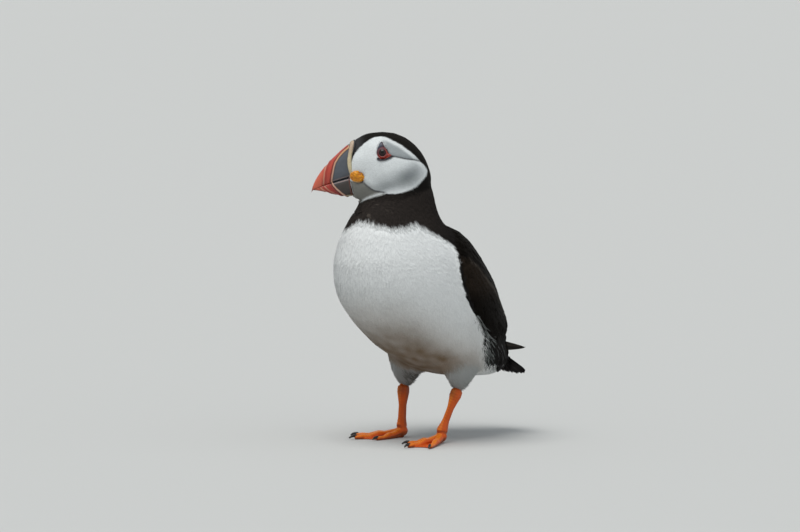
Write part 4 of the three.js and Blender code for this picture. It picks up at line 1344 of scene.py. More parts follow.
def mandible(edge, shares, angles, grow=0, set_back=0):
    """Rings round a mandible from its root to its tip, in the head's frame."""
    share, angle = np.meshgrid(shares, angles, indexing="ij")
    rim, mouth = curve_at(edge, share), curve_at(GAPE, share)
    height = (1 - np.cos(angle)) / 2
    flank = np.abs(np.sin(angle)) ** np.where(height < 0.5, 0.35, 0.75) * (1 - 0.22 * height)
    half = BILL_HALF * np.clip(1 - share, 0, 1) ** 0.8 + BILL_TIP_HALF
    left = np.sign(np.sin(angle)) * (half * flank + grow)
    outwards = 1 if edge is CULMEN else -1
    up = mouth[..., 1] + height * (rim[..., 1] - mouth[..., 1])
    up += outwards * (MOUTH_CUT - grow + height * (2 * grow - MOUTH_CUT))
    forward = mouth[..., 0] + height * (rim[..., 0] - mouth[..., 0])
    bow = BILL_BOW * height * (1 - height) * np.sin(math.pi * np.minimum(1, 1.2 * share))
    root = np.minimum(forward, 33.5 - 0.0095 * (up + 8) ** 2) - set_back
    settle = blend(0, 0.02, share)
    return np.stack([root + settle * (forward + bow - root), left, up], axis=2)


chord = np.linalg.norm(np.subtract(CULMEN[0], CULMEN[-1]))
print("culmen from root to tip, mm:", round(chord, 1))


# %% Helpers for the bill's rings
def lofted(name, rings, finish, colours):
    """A closed mesh through rings of points, capped at both ends."""
    points = np.vstack([rings.reshape(-1, 3), rings[0].mean(axis=0), rings[-1].mean(axis=0)])
    piece = new_piece(name, points, ring_faces(*rings.shape[:2]).tolist())
    face_out(piece)
    tinted(piece, np.vstack([colours.reshape(-1, 3), colours[0, :1], colours[-1, :1]]))
    piece.data.materials.append(finish)
    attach(piece, "root")
    return piece


def even_angles(edge, count, share=0.3):
    """Angles whose points lie evenly round a section of the bill."""
    fine = np.linspace(0, 2 * math.pi, 4001)
    section = mandible(edge, np.array([share]), fine)[0]
    run = np.r_[0, np.cumsum(np.linalg.norm(np.diff(section, axis=0), axis=1))]
    return np.interp(np.linspace(0, run[-1], count, endpoint=False), run, fine)


def raised(rings, heights):
    """Moves each point of the rings out from the surface by its height."""
    along = np.gradient(rings, axis=0)
    around = np.roll(rings, -1, axis=1) - np.roll(rings, 1, axis=1)
    out = np.cross(along, around)
    out /= np.linalg.norm(out, axis=2, keepdims=True) + 1e-9
    outward = rings - rings.mean(axis=1, keepdims=True)
    out *= np.sign(np.sum(out * outward, axis=2).sum())
    return rings + out * heights[..., None]


def ahead_of(places, path):
    """Distance to a path across the bill, positive in front of it and negative behind."""
    path = np.asarray(path, float)
    order = np.argsort(path[:, 1])
    line = np.interp(places[:, 1], path[order, 1], path[order, 0])
    return np.sign(places[:, 0] - line) * path_gap(places, path)


print("angles of four even points round the bill:", even_angles(CULMEN, 4).round(2))

# %% [markdown]
# ## Bands of the bill
# From the root forwards lie a slate plate, a raised pale ridge, and red horn that turns orange, with pale
# grooves across it: one over the upper half, two chevrons over the lower. Relief and colour come from the
# same distances to the same lines, so a pale groove is also a groove. An image would be simpler, but it would
# not press the surface in.

# %% Lines and colours of the bands
RIDGE_UPPER = [(24.8, 23.1), (30.4, 20.9), (34.5, 18.5), (37.9, 15.7), (40.4, 12.2), (43, 7.9), (45.2, 3.4),
               (45.4, 1)]
RIDGE_LOWER = [(45.4, 4), (44.9, -0.3), (43.1, -4.1), (40.9, -7.8), (37.5, -12.5)]
GROOVE_UPPER = [(41, 19), (44.8, 15.5), (47.5, 11.5), (49.7, 7), (51.2, 3.5), (51.6, 1)]
CHEVRONS = [[(51.6, 4), (50.1, -0.1), (48.2, -3.6), (46.1, -5.6), (43, -9)],
            [(54.8, 4), (53.2, 0.2), (51.4, -2.6), (49.7, -4.5), (47, -8)]]
LOWER_ROOT_LEVEL, LOWER_ROOT_AT = [-12, 1.8], [34.2, 31.4]
SLATE, SLATE_LOW, PLATE_EDGE = shade("535860"), shade("38312E"), shade("2B2327")
RIDGE_PALE, RIDGE_WARM = shade("CDA088"), shade("D6A271")
GROOVE_DARK, RED_HORN, ORANGE_HORN = shade("5A211B"), shade("BC4434"), shade("D0634A")
DEEP_RED, PALE_GROOVE, TIP_BROWN_AND_KEEL_SHADE = shade("8A2018"), shade("C78E74"), shade("5B3A31")
LIP_PALE, MOUTH_GAP_SHADE, KEEL_PALE = shade("A58B84"), shade("3A2420"), shade("C3B89A")
ROOT_BROWN, CULMEN_DUSK = shade("6B3A2C"), shade("6D4A4C")
print("marks along the ridge:", len(RIDGE_UPPER) + len(RIDGE_LOWER))


# %% Horn in front of the ridge
def red_horn(points, ridge, upper, wobble):
    """Height and colour of the red horn and its grooves, from the distance ahead of the ridge."""
    side, up = points[:, [0, 2]], points[:, 2]
    front = blend(0, 14, ridge)
    colour = mixed(RED_HORN, ORANGE_HORN, blend(0.2, 0.75, front + 0.25 * lumps(points * MM, 4, 22)))
    height = np.zeros(len(points))
    for groove in [GROOVE_UPPER] if upper else CHEVRONS:
        gap = ahead_of(side, groove) + wobble
        height += 0.16 * bump(gap + 0.9, 0.6) - 0.3 * bump(gap, 0.55)
        colour = mixed(colour, DEEP_RED, 0.55 * bump(gap + 1.3, 1.4) + 0.5 * bump(gap - 1, 0.9) * blend(9, 4, up))
        colour = mixed(colour, PALE_GROOVE, 0.95 * bump(gap, 0.75))
    if not upper:
        colour = mixed(colour, DEEP_RED, 0.85 * bump(ridge - 1.6, 2.2))
    return height, colour


print("pale grooves above and below:", 1, len(CHEVRONS))


# %% All bands of a mandible
def horn_bands(rings, upper):
    """Height and colour of the bands over a mandible's rings."""
    points = rings.reshape(-1, 3)
    side = points[:, [0, 2]]
    forward, left, up = points.T
    wobble = 0.12 * lumps(points * MM, 3, 21)
    ridge = ahead_of(side, RIDGE_UPPER if upper else RIDGE_LOWER) + wobble
    plate = blend(-0.75, -1.15, ridge)
    height, colour = red_horn(points, ridge, upper, wobble)
    height += 0.38 * bump(ridge + 0.4, 0.85) - 0.4 * bump(ridge - 0.65, 0.7) - 0.2 * plate
    height += 0.03 * np.sin(ridge * 5) * (1 - plate) + 0.02 * np.sin(ridge * 9) * plate
    colour = mixed(colour, GROOVE_DARK, 0.85 * bump(ridge - 0.5, 0.9))
    colour = mixed(colour, mixed(RIDGE_PALE, RIDGE_WARM, blend(10, 22, up)), blend(0.4, -0.2, ridge))
    slate = mixed(SLATE, SLATE_LOW, blend(3.5, -1, up)) * (1 + 0.12 * lumps(points * MM, 2.5, 24))[:, None]
    colour = mixed(colour, slate, plate)
    colour = mixed(colour, PLATE_EDGE, 0.6 * bump(ridge + 1.2, 0.45))
    lips = path_gap(side, curve_at(GAPE, np.linspace(0, 1, 60)))
    colour = mixed(colour, LIP_PALE, 0.7 * bump(lips - 1.1, 0.5) * plate)
    # painted shade along the mouth line, in the gap between the mandibles
    colour = mixed(colour, MOUTH_GAP_SHADE, 0.5 * blend(0.3, 0.1, lips))
    if not upper:
        over_keel = up - np.interp(forward, *curve_at(GONYS, np.linspace(0, 1, 60)).T)
        past_root = forward - np.interp(up, LOWER_ROOT_LEVEL, LOWER_ROOT_AT)
        colour = mixed(colour, KEEL_PALE, 0.9 * plate * blend(1.7, 0.9, over_keel))
        colour = mixed(colour, ROOT_BROWN, 0.7 * plate * blend(1.6, 0.6, past_root))
        # darker along the keel under the red horn: painted shade
        colour = mixed(colour, TIP_BROWN_AND_KEEL_SHADE, 0.5 * (1 - plate) * blend(1.4, 0.5, over_keel))
    colour = mixed(colour, TIP_BROWN_AND_KEEL_SHADE, 0.75 * blend(57.5, 61.5, forward))
    if upper:
        beside = np.abs(left) / (np.abs(left).max() + 1e-9)
        colour = mixed(colour, CULMEN_DUSK, 0.55 * (1 - plate) * blend(0.16, 0.02, beside) * blend(2, 6, up))
    return height.reshape(rings.shape[:2]), colour.reshape(rings.shape)


coarse = horn_bands(mandible(CULMEN, np.linspace(0, 1, 40), even_angles(CULMEN, 20)), True)[0]
print("relief of the bands, mm:", coarse.min().round(2), "to", coarse.max().round(2))

# %% Both mandibles
BILL_RINGS, BILL_POINTS = 150, 120

horn_finish = tint_finish("banded_horn", 0.42, 1300, 0.12, 0.05, Coat_Weight=0.12, Coat_Roughness=0.3)
shares_along = np.linspace(0, 1, BILL_RINGS)
faded = blend(0, 0.02, shares_along)[:, None] * blend(1, 0.95, shares_along)[:, None]
for name, edge in (("bill_upper", CULMEN), ("bill_lower", GONYS)):
    rings = mandible(edge, shares_along, even_angles(edge, BILL_POINTS))
    heights, colours = horn_bands(rings, edge is CULMEN)
    rings = raised(rings, heights * faded)
    horn = lofted(name + "_horn", from_head(rings.reshape(-1, 3)).reshape(rings.shape), horn_finish, colours)
    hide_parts(name)
    print(horn.name, "faces:", len(horn.data.polygons))

# %% [markdown]
# ## Cere
# Between the horn and the feathers a cream band of soft, pitted skin runs over the root of the upper bill. It
# could be a bent tube, but its width changes along it, so it is a loft like the bill: each ring follows the
# bill's own section, set back and raised a little more or less.

# %% Cere
CERE_RINGS = 14
CREAM, CREAM_TOP, CERE_SEAM_SHADE, CERE_DUSK = shade("CFC29F"), shade("B79C88"), shade("3A3236"), shade("8F7F6E")

cere_angles = even_angles(CULMEN, BILL_POINTS, 0)
ring = mandible(CULMEN, np.array([0.0]), cere_angles)[0]
wide = np.clip(ring[:, 0] - line_at(CERE_REAR, ring[:, 2]), 1.2, 5.2)
bow = 1.8 * bump(ring[:, 2] - 12.5, 10.5)
steps = np.linspace(0, 1, CERE_RINGS)
cere_rings = []
for step in steps:
    proud = 0.35 + 0.95 * math.sin(math.pi * min(1, 0.08 + step)) ** 0.7 - 0.9 * blend(0.85, 1, step)
    proud = proud - 0.2 * bow * (1 - step)
    back = 0.25 - bow + step * (wide + bow)
    cere_rings.append(mandible(CULMEN, np.array([0.0]), cere_angles, grow=proud, set_back=back)[0])
cere_rings = np.array(cere_rings)
pits = lumps(cere_rings.reshape(-1, 3) * MM, 0.9, 31)
cere_rings = raised(cere_rings, 0.1 * pits.reshape(cere_rings.shape[:2]))
flat = cere_rings.reshape(-1, 3)
across = np.repeat(steps, len(cere_angles))
cream = mixed(CREAM, CREAM_TOP, blend(15, 22, flat[:, 2]) * 0.8)
# painted shade along the seam with the horn in front, and lighter on the raised pits and darker in the sunken ones:
# painted light and shade
cream = mixed(cream, CERE_SEAM_SHADE, 0.8 * blend(0.1, 0.01, across)) * (1 + 0.1 * pits[:, None])
cream = mixed(cream, CERE_DUSK, 0.6 * blend(0.7, 0.95, across))
skin_flesh = tint_finish("bare_skin", 0.5, 1100, 0.25, 0.06, Subsurface_Weight=0.06, Subsurface_Scale=0.001)
cere = lofted("cere_band", from_head(flat).reshape(cere_rings.shape), skin_flesh, cream.reshape(cere_rings.shape))
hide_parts("cere")
print(cere.name, "faces:", len(cere.data.polygons), "widest, mm:", wide.max().round(1))

# %% [markdown]
# ## Small parts of the face
# A wrinkled orange rosette sits at the corner of the mouth. Each eye lies in a red rim, with a small horn above
# it and one below. They could be carved from one block with the head, but they are of other stuff than the
# feathers, so each starts as a ball, a ring or a flat outline of its own and is then bent to the face.

# %% Helpers for small parts on the face
def on_face(forward, up, side, above=0.0):
    """Points over the cheek: the skin's own level there, plus a height in millimetres, in the head's frame."""
    inward = Vector((-side * head_axes[:, 0]).tolist())
    starts = from_head(np.stack([forward, 0 * forward + side * 40, up], axis=1))
    level = []
    for start in starts.tolist():
        hit = skin_tree.ray_cast(start, inward)[0]
        level.append(in_head(np.array([hit]))[0, 1] if hit else side * 12)
    return np.stack([forward, np.array(level) + side * above, up], axis=1)


def face_part(name, piece, head_points, colours, finish, node):
    """Finishes a small part: its points from the head's frame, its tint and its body."""
    set_points(piece, from_head(head_points))
    piece.name = name
    face_out(piece)
    tinted(piece, colours)
    piece.data.materials.clear()
    piece.data.materials.append(finish)
    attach(piece, "root")
    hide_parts(node)
    print(name, "faces:", len(piece.data.polygons))


def rounded_outline(outline, count):
    """A closed outline drawn smoothly through its marks."""
    marks = np.asarray(outline, float)
    share = np.arange(count) / count * len(marks)
    k, t = share.astype(int), (share % 1)[:, None]
    a, b, c, d = (marks[(k + i) % len(marks)] for i in (-1, 0, 1, 2))
    return 0.5 * (2 * b + (c - a) * t + (2 * a - 5 * b + 4 * c - d) * t**2 + (3 * b - a - 3 * c + d) * t**3)


eye_gloss = tint_finish("wet_eye", 0.22, 300, 0, 0.01, Specular_IOR_Level=0.25)
rim_flesh = tint_finish("eye_rim_flesh", 0.45, 1600, 0.2, 0.08)
small_horn = tint_finish("small_horn", 0.5, 1400, 0.15, 0.08)
print("finishes of the face:", eye_gloss.name, rim_flesh.name, small_horn.name)

# %% [markdown]
# ## Rosette
# The rosette is a fold of bare skin round the corner of the mouth, lumpy and yellow to orange. A ball pressed
# flat has the right swell. Its folds follow circles round the corner of the mouth, broken up by lumps, and
# it is painted darkest where the blotches lie lowest, as painted shade in the hollows.

# %% Rosette
ROSETTE_THICK, ROSETTE_SLOPE = 1.9, -0.13
ORANGE_DEEP, ORANGE_BRIGHT = shade("C87602"), shade("E59A06")
ORANGE_HOLLOW_SHADE, ORANGE_PALE = shade("8A4A08"), shade("D9B370")


def rosette(side_name, side):
    """The orange fold at one corner of the mouth."""
    bpy.ops.mesh.primitive_uv_sphere_add(segments=72, ring_count=40, radius=1)
    ball = bpy.context.active_object
    along, across, out = points_of(ball).T
    flat = np.stack([along * ROSETTE_LONG, across * ROSETTE_TALL], axis=1)
    flat = turned_flat(flat, ROSETTE_TILT) + ROSETTE_AT
    from_corner = np.linalg.norm(flat - GAPE[0], axis=1)
    spread = np.c_[flat, out] * MM
    lump = lumps(spread, 1.5, 33)
    blotch = lumps(spread, 0.75, 34) + 0.5 * lump
    folds = np.sin(from_corner * 2.6 + 3.2 * lump + 1.1 * flat[:, 1]) * blend(0, 0.5, out)
    relief = 0.09 * folds * blend(0.1, 0.6, out) + 0.12 * blotch * blend(0, 0.4, out)
    relief += 0.4 * lump * blend(0, 0.5, out)
    middle = on_face(np.array([ROSETTE_AT[0] - 4]), np.array([ROSETTE_AT[1] - 1.0]), side)[0, 1]
    slope = ROSETTE_SLOPE * (flat[:, 0] - ROSETTE_AT[0])
    level = middle + side * (ROSETTE_THICK * out + relief + 0.3 + slope)
    tone = mixed(ORANGE_DEEP, ORANGE_BRIGHT, blend(-0.8, 0.8, blotch + 0.15 * folds))
    # painted shade in the hollows, where the blotches and folds lie lowest
    tone = mixed(tone, ORANGE_HOLLOW_SHADE, 0.55 * blend(-0.5, -1.1, blotch + 0.25 * folds))
    tone = mixed(tone, ORANGE_PALE, 0.7 * blend(-0.72, -0.95, across))
    face_part(f"mouth_rosette_{side_name}", ball, np.stack([flat[:, 0], level, flat[:, 1]], axis=1), tone,
              skin_flesh, f"gape_rosette_{side_name}")


print("rosette, mm:", 2 * ROSETTE_LONG, "by", 2 * ROSETTE_TALL)

# %% [markdown]
# ## Eye and rim
# The eyeball is a wet ball with a dark red-brown iris round a black pupil. It is modelled whole, with its pole
# looking out, so that the iris is a plain circle round the pole. The rim is a ring of flesh: its inner side
# lies on the ball, and its outer side follows the drop shape of the bare skin on the face.

# %% Eyeball
BALL_RADIUS = 4.2
PUPIL_EDGE, IRIS_EDGE = (17, 20), (27, 36)
PUPIL, IRIS, IRIS_RIM = shade("040404"), shade("2F1B1C"), shade("120D10")


def eye_frame(side_name):
    """Middle of the eyeball and the way it looks, in the head's frame."""
    middle, ring = (in_head(np.mean([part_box(node + side_name)], axis=1))[0] for node in ("eye_", "eye_ring_"))
    return middle, unit(ring - middle)


def eyeball(side_name, middle, look):
    """A ball with its pole looking out, and the pupil and iris round the pole."""
    bpy.ops.mesh.primitive_uv_sphere_add(segments=64, ring_count=48, radius=1)
    ball = bpy.context.active_object
    places = points_of(ball)
    aside = unit(np.cross(look, (0, 0, 1)))
    off_axis = np.degrees(np.arccos(np.clip(places[:, 2], -1, 1)))
    tone = mixed(PUPIL, IRIS, blend(*PUPIL_EDGE, off_axis))
    tone = mixed(tone, IRIS_RIM, blend(*IRIS_EDGE, off_axis))
    points = middle + BALL_RADIUS * (places @ np.stack([aside, np.cross(look, aside), look]))
    face_part(f"eyeball_{side_name}", ball, points, tone, eye_gloss, f"eye_{side_name}")


print("the left eye looks forward, left and up by:", eye_frame("left")[1].round(2))

# %% Rim of the eye
RIM_INNER, RIM_OVER_SKIN, RIM_INTO_BALL = 2.5, 1.12, 0.1
RING_SWELL = 0.25
RIM_PLUM, RIM_RED, RIM_DARK = shade("4A1E2C"), shade("B8402C"), shade("4E1419")


def rim_reach(turn):
    """How far the drop-shaped outline lies from the eye's middle at each turn."""
    outline = rounded_outline(EYE_RIM, 240) - EYE_AT
    order = np.argsort(np.arctan2(outline[:, 1], outline[:, 0]))
    at = np.arctan2(outline[order, 1], outline[order, 0])
    return np.interp(turn, at, np.linalg.norm(outline[order], axis=1), period=2 * math.pi)


def rim_base(forward, up, share, side, middle, look):
    """Level under the rim: the plane of the eye inside, the skin outside, and never below the ball."""
    level = middle[1] + side * math.sqrt(BALL_RADIUS**2 - RIM_INNER**2) * abs(look[1])
    plane = level - (look[0] * (forward - middle[0]) + look[2] * (up - middle[2])) / look[1]
    skin_level = on_face(forward, up, side, RIM_OVER_SKIN)[:, 1]
    base = plane + (skin_level - plane) * blend(0.35, 1, share)
    ball = np.sqrt(np.clip(BALL_RADIUS**2 - (forward - middle[0]) ** 2 - (up - middle[2]) ** 2, 0, None))
    return side * np.maximum(side * base, np.where(ball > 0, side * middle[1] + ball - RIM_INTO_BALL, 0))


def eye_rim(side_name, side, middle, look):
    """The red ring of flesh round one eye."""
    bpy.ops.mesh.primitive_torus_add(major_segments=120, minor_segments=22, major_radius=1,
                                     minor_radius=RING_SWELL)
    ring = bpy.context.active_object
    x, y, z = points_of(ring).T
    turn = np.arctan2(y, x)
    share = (np.hypot(x, y) - (1 - RING_SWELL)) / (2 * RING_SWELL)
    wrinkle = np.sin(turn * 34 + 2 * np.sin(turn * 5))
    radius = RIM_INNER + (rim_reach(turn) - RIM_INNER) * share
    forward, up = EYE_AT[0] + radius * np.cos(turn), EYE_AT[1] + radius * np.sin(turn)
    height = z / RING_SWELL * (0.55 - 0.2 * share) + 0.05 * wrinkle * (z > 0) * blend(0, 0.3, share)
    level = rim_base(forward, up, share, side, middle, look) + side * height
    low = blend(0.9, -0.6, np.sin(turn) + 0.35 * np.cos(turn))
    tone = mixed(RIM_PLUM, RIM_RED, low * (0.55 + 0.45 * blend(0.2, 0.6, share)))
    rear = 0.6 * blend(0.4, 0.9, -np.cos(turn)) * (share > 0.5)
    tone = mixed(tone, RIM_DARK, 0.75 * blend(0.55, 0.1, share) + rear)
    # lighter on the crests of the wrinkles and darker between them: painted light and shade
    tone = tone * (1 + 0.12 * wrinkle * (z > 0))[:, None]
    face_part(f"eye_rim_{side_name}", ring, np.stack([forward, level, up], axis=1), tone, rim_flesh,
              f"eye_ring_{side_name}")


print("reach of the rim in front, above and behind, mm:", rim_reach(np.array([0, 0.5, 1]) * math.pi).round(1))

# %% [markdown]
# ## Small horns
# Over and under the eye lies a thin plate of slate-blue horn, a triangle above and a strip below. Each is a
# flat outline, drawn smoothly through its marks, extruded, and inset three times, so that its edge is rounded
# in small steps. A bevel could round it too. Insets keep each step small enough for the narrow ends.

# %% Small horns
PLATE_THICK = 0.75
PLATE_STEPS = ((0.09, 0.14), (0.11, 0.09), (0.12, 0.05))
HORN_BLUE, HORN_PLUM, HORN_INK, HORN_REAR = shade("4C5361"), shade("3A2A36"), shade("23242E"), shade("3A2C30")


def stepped_plate(name, rim):
    """A flat outline extruded to a plate, with its upper edge rounded by insets."""
    plate = new_piece(name, np.c_[rim, 0 * rim[:, 0]], [list(range(len(rim)))])
    in_edit_mode(
        plate,
        lambda: bpy.ops.mesh.normals_make_consistent(inside=False),
        lambda: bpy.ops.mesh.extrude_region_move(TRANSFORM_OT_translate={"value": (0, 0, PLATE_THICK)}),
        *(partial(bpy.ops.mesh.inset, thickness=across, depth=rise) for across, rise in PLATE_STEPS),
        lambda: bpy.ops.mesh.quads_convert_to_tris(ngon_method="BEAUTY"),
    )
    return plate


def eye_horn(part, outline, proud, side_name, side):
    """One small horn, laid over the skin so far that it stands proud of it."""
    plate = stepped_plate(part, rounded_outline(outline, 56))
    x, y, z = points_of(plate).T
    points = on_face(x, y, side)
    # the outline's face may point down, and then the plate has grown downwards
    points[:, 1] += side * (z * (1 if z.max() > 0.5 else -1) + proud - 0.95)
    if part == "upper":
        tone = mixed(HORN_BLUE, HORN_PLUM, blend(2, 0, x))
    else:
        tone = mixed(HORN_INK, HORN_REAR, blend(0, -3, x))
    tone = tone * (1 + 0.15 * lumps(np.c_[x, y, z] * MM, 0.8, 35))[:, None]
    face_part(f"eye_horn_{part}_{side_name}", plate, points, tone, small_horn,
              f"eye_plate_{part}_{side_name}")


print("thickness of a small horn, mm:", round(PLATE_THICK + sum(rise for across, rise in PLATE_STEPS), 2))

# %% Small parts on both sides
for side_name, side in (("left", 1), ("right", -1)):
    rosette(side_name, side)
    middle, look = eye_frame(side_name)
    eyeball(side_name, middle, look)
    eye_rim(side_name, side, middle, look)
    eye_horn("upper", UPPER_HORN, 1.35, side_name, side)
    eye_horn("lower", LOWER_HORN, 1.3, side_name, side)

# %% [markdown]
# ## Legs, feet and claws
# Shank, toes and webs are one bare, scaly skin, so copies of their solids are joined, remeshed finely and
# smoothed. Then the scales are pressed in: broad plates down the front of the shank and over each toe, fine
# folds in the webs. The claws are copies of their solids, rounded by subdivision.

# %% Scaly skin
scales, scales_in, scales_out = pattern("fine_scales", Size=900, Depth=0.5)
scales_at = scales.nodes.new("ShaderNodeTexCoord")
cells = scales.nodes.new("ShaderNodeTexVoronoi")
cells.feature = "DISTANCE_TO_EDGE"
seam = scales.nodes.new("ShaderNodeMapRange")
seam.inputs["From Max"].default_value = 0.12
press = scales.nodes.new("ShaderNodeBump")
press.inputs["Distance"].default_value = 0.12 * MM
linked(
    scales,
    (scales_at.outputs["Object"], cells.inputs["Vector"]),
    (scales_in["Size"], cells.inputs["Scale"]),
    (cells.outputs["Distance"], seam.inputs["Value"]),
    (seam.outputs["Result"], press.inputs["Height"]),
    (scales_in["Depth"], press.inputs["Strength"]),
    (seam.outputs["Result"], scales_out["Mask"]),
    (press.outputs["Normal"], scales_out["Normal"]),
)

foot_finish = tint_finish("scaly_orange_skin", 0.42, 1300, 0.22, 0.05, scales, (0, 1), Specular_IOR_Level=0.3)
claw_finish = tint_finish("dark_claw", 0.35, 700, 0.12, 0.12)
print("finishes of the feet:", foot_finish.name, claw_finish.name)

# %% Places of the legs
# each toe's turn outwards in degrees, and its length in millimetres
TOES = {"inner": (-24, 27), "middle": (2, 37), "outer": (28, 34)}
# heel and root of the toes in millimetres, and how far the foot is turned out in degrees
FEET = {
    "left": {"side": 1, "heel": (25.5, 3.65, 37), "root": (23, -9.35, 7), "out": 8},
    "right": {"side": -1, "heel": (-24.5, -5.35, 36.5), "root": (-22.5, -8.85, 7), "out": 17},
}


def toe_way(leg, out=0):
    """The flat direction in which a foot, or a toe turned out from it, points."""
    angle = math.radians((out + leg["out"]) * leg["side"])
    return np.array([math.sin(angle), -math.cos(angle), 0])


for side_name, leg in FEET.items():
    print(side_name, "heel to root, mm:", round(math.dist(leg["heel"], leg["root"]), 1))

# %% [markdown]
# ## Shape of the shank
# A tarsus is a flat bone with tendons behind it: seen from the side it is nearly as deep as its knobs at both
# ends, and seen from the front it is narrow between them. The solid's round shank is therefore scaled in two
# directions, across its own axis, by shares that change from the heel down to the toes.

# %% Press the shank flat
SHANK_AT = [-5, -1, 3, 7, 12, 22, 29]
SHANK_DEEP = [0.7, 1, 1.1, 1, 0.86, 0.86, 1]
SHANK_SLIM = [0.7, 0.95, 1, 0.76, 0.54, 0.56, 1]


def pressed_shank(places, leg):
    """Places of the leg with its shank pressed, and how far down from the heel each lies."""
    heel, root = np.array(leg["heel"]), np.array(leg["root"])
    run = unit(root - heel)
    down = (places - heel) @ run
    off = places - heel - down[:, None] * run
    ahead = toe_way(leg)
    front = unit(ahead - (ahead @ run) * run)
    beside = np.cross(run, front)
    deep = np.interp(down, SHANK_AT, SHANK_DEEP) * (off @ front)
    slim = np.interp(down, SHANK_AT, SHANK_SLIM) * (off @ beside)
    return heel + down[:, None] * run + deep[:, None] * front + slim[:, None] * beside, down


print("narrowest share of the shank:", min(SHANK_SLIM))

# %% [markdown]
# ## Scales and webs
# Broad plates lie one under the other down the front of the shank and over each toe, and the web between
# the toes has fine folds. Each is a field over the foot: how near a place is to a toe, how far along it, how
# much it faces up. The fields press the seams in and tint them, and the sole stays plain and flat.

# %% Fields over the foot
SHANK_PLATE, TOE_PLATE, TOE_HALF = 2.1, 1.9, 3


def plate_seams(along, length):
    """Narrow seams between plates of a length."""
    return (0.5 + 0.5 * np.cos(2 * math.pi * along / length)) ** 4


def toe_fields(flat, leg):
    """How near flat places are to a toe, and the seams between the plates on the toes."""
    ridge = np.zeros(len(flat))
    seams = np.zeros(len(flat))
    for out, length in TOES.values():
        toe = toe_way(leg, out)[:2]
        along, beside = flat @ toe, flat @ np.array([-toe[1], toe[0]])
        near = bump(beside, TOE_HALF) * blend(-2, 3, along) * blend(length + 4, length + 1, along)
        seams = np.maximum(seams, plate_seams(along, TOE_PLATE) * near)
        ridge = np.maximum(ridge, near)
    return ridge, seams


print("plates down a shank of 30 mm:", round(30 / SHANK_PLATE))

# %% Colours of the foot
FOOT_DEEP, FOOT_PAINTED_LIGHT, WEB_RED = shade("D2560A"), shade("EC8020"), shade("C04A08")
SEAM_BROWN, SHANK_REAR_SHADE, HEEL_BROWN = shade("8E3A08"), shade("8F3F12"), shade("6E3413")
ANKLE_CREASE_SHADE, SOLE_SHADE = shade("7D2A0A"), shade("5A3A24")
CLAW_BLACK, CLAW_WORN = shade("181413"), shade("54453A")
FLOOR_GAP, SOLE_HIGH = 0.02, 0.6


def finished_foot(foot, leg):
    """Presses scales and folds into a leg, and tints it."""
    places, down = pressed_shank(relaxed(points_of(foot), edges_of(foot), 5) / MM, leg)
    set_points(foot, places * MM)
    normals = points_of(foot, "normal")
    on_shank = blend(8, 11, places[:, 2])
    facing = normals @ toe_way(leg)
    front = blend(0.1, 0.5, facing)
    upwards = blend(0.1, 0.5, normals[:, 2]) * (1 - on_shank)
    shank_seams = plate_seams(down, SHANK_PLATE) * on_shank * front
    flat = places[:, :2] - np.array(leg["root"][:2])
    ridge, toe_seams = toe_fields(flat, leg)
    toe_seams *= upwards
    fan = np.degrees(np.arctan2(flat[:, 0], -flat[:, 1]))
    reach = np.hypot(*flat.T)
    web = (1 - blend(0.05, 0.4, ridge)) * upwards * blend(6, 12, reach)
    fold = np.sin(fan * 1.3 + 3 * lumps(places * MM, 5, 61)) + 0.6 * np.sin(reach * 2.2 + fan * 0.3)
    height = 0.09 * fold * web - 0.16 * shank_seams - 0.14 * toe_seams
    places = places + height[:, None] * normals
    places[:, 2] = np.where(places[:, 2] < SOLE_HIGH, np.maximum(places[:, 2], FLOOR_GAP), places[:, 2])
    set_points(foot, places * MM)

    # lighter on the toes' tops and the shank's front: painted light
    tone = mixed(FOOT_DEEP, FOOT_PAINTED_LIGHT, blend(0.15, 0.8, ridge * upwards + 0.7 * on_shank * facing))
    tone = mixed(tone, WEB_RED, 0.7 * web * blend(-0.6, 0.8, fold))
    tone = mixed(tone, SEAM_BROWN, 0.3 * (shank_seams + toe_seams))
    # darker on the back of the shank: painted shade
    tone = mixed(tone, SHANK_REAR_SHADE, 0.6 * on_shank * blend(0.1, -0.6, facing))
    patchy = 0.5 + 0.5 * lumps(places * MM, 3.5, 62)
    tone = mixed(tone, HEEL_BROWN, 0.75 * blend(9, 1, down) * patchy)
    # painted shade in the crease at the front of the ankle
    tone = mixed(tone, ANKLE_CREASE_SHADE, 0.6 * bump(places[:, 2] - 9.2, 1.1) * blend(0.2, 0.6, facing))
    # darker on the undersides of toes and webs: painted shade
    tone = mixed(tone, SOLE_SHADE, 0.6 * blend(0.3, -0.5, normals[:, 2]) * (1 - on_shank))
    tinted(foot, tone)


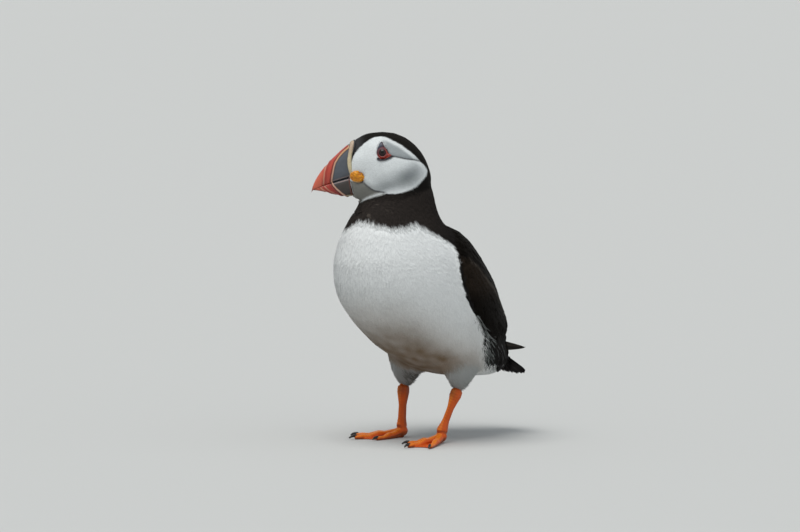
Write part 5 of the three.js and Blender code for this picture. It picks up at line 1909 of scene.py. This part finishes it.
# %% [markdown]
# ## Claws
# Each toe ends in a short, curved, dark claw, worn browner where it meets the ground. The solid's claw has
# few faces, so its copy is subdivided. It is then drawn back a little towards the toe, so that it stays as
# slim as a real claw. A cone could be bent to that shape, but it would not follow the solid.

# %% Claws
CLAW_SHARE = 0.82


def claw_horn(toe, side_name, root):
    """One claw, rounded and tinted."""
    name = f"claw_{toe}_{side_name}"
    claw = joined_copy(f"{name}_horn", [name], 0.2)
    claw.name = f"{name}_horn"
    modified(claw, "SUBSURF", levels=2, render_levels=2)
    in_edit_mode(claw, bpy.ops.mesh.faces_shade_smooth)
    places = points_of(claw) / MM
    gap = np.linalg.norm(places - root, axis=1)
    held = places[gap < np.percentile(gap, 25)].mean(axis=0)
    places = held + CLAW_SHARE * (places - held)
    places[:, 2] = np.maximum(places[:, 2], FLOOR_GAP)
    set_points(claw, places * MM)
    worn = blend(2.2, 0.6, places[:, 2]) * (0.6 + 0.4 * lumps(places * MM, 1.2, 63))
    tinted(claw, mixed(CLAW_BLACK, CLAW_WORN, 0.6 * worn))
    claw.data.materials.append(claw_finish)
    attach(claw, "root")
    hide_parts(name)


print("claws:", len(TOES) * len(FEET))

# %% Both legs
FOOT_VOXEL = 0.5

for side_name, leg in FEET.items():
    solids = [f"shank_{side_name}", f"foot_{side_name}"]
    foot = remeshed(joined_copy(f"leg_{side_name}", solids, 0.15), FOOT_VOXEL)
    foot.name = f"leg_{side_name}"
    finished_foot(foot, leg)
    foot.data.polygons.foreach_set("use_smooth", np.ones(len(foot.data.polygons), bool))
    foot.data.materials.append(foot_finish)
    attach(foot, "root")
    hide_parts(*solids)
    for toe in TOES:
        claw_horn(toe, side_name, np.array(leg["root"]))
    print(foot.name, "faces:", len(foot.data.polygons))

# %% [markdown]
# ## Sizes
# The dressed bird has to stay close to its solids, since those are what stands, fits and collides. Its bounds
# are measured once more at the end, and the largest step past those of the solids is printed.

# %% Sizes of the imported solids and of the dressed bird
visual_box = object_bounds()
steps_out = [max(cad_box[0][i] - visual_box[0][i], visual_box[1][i] - cad_box[1][i]) for i in range(3)]
print("largest step past the solids, mm:", round(max(steps_out) / MM, 2))
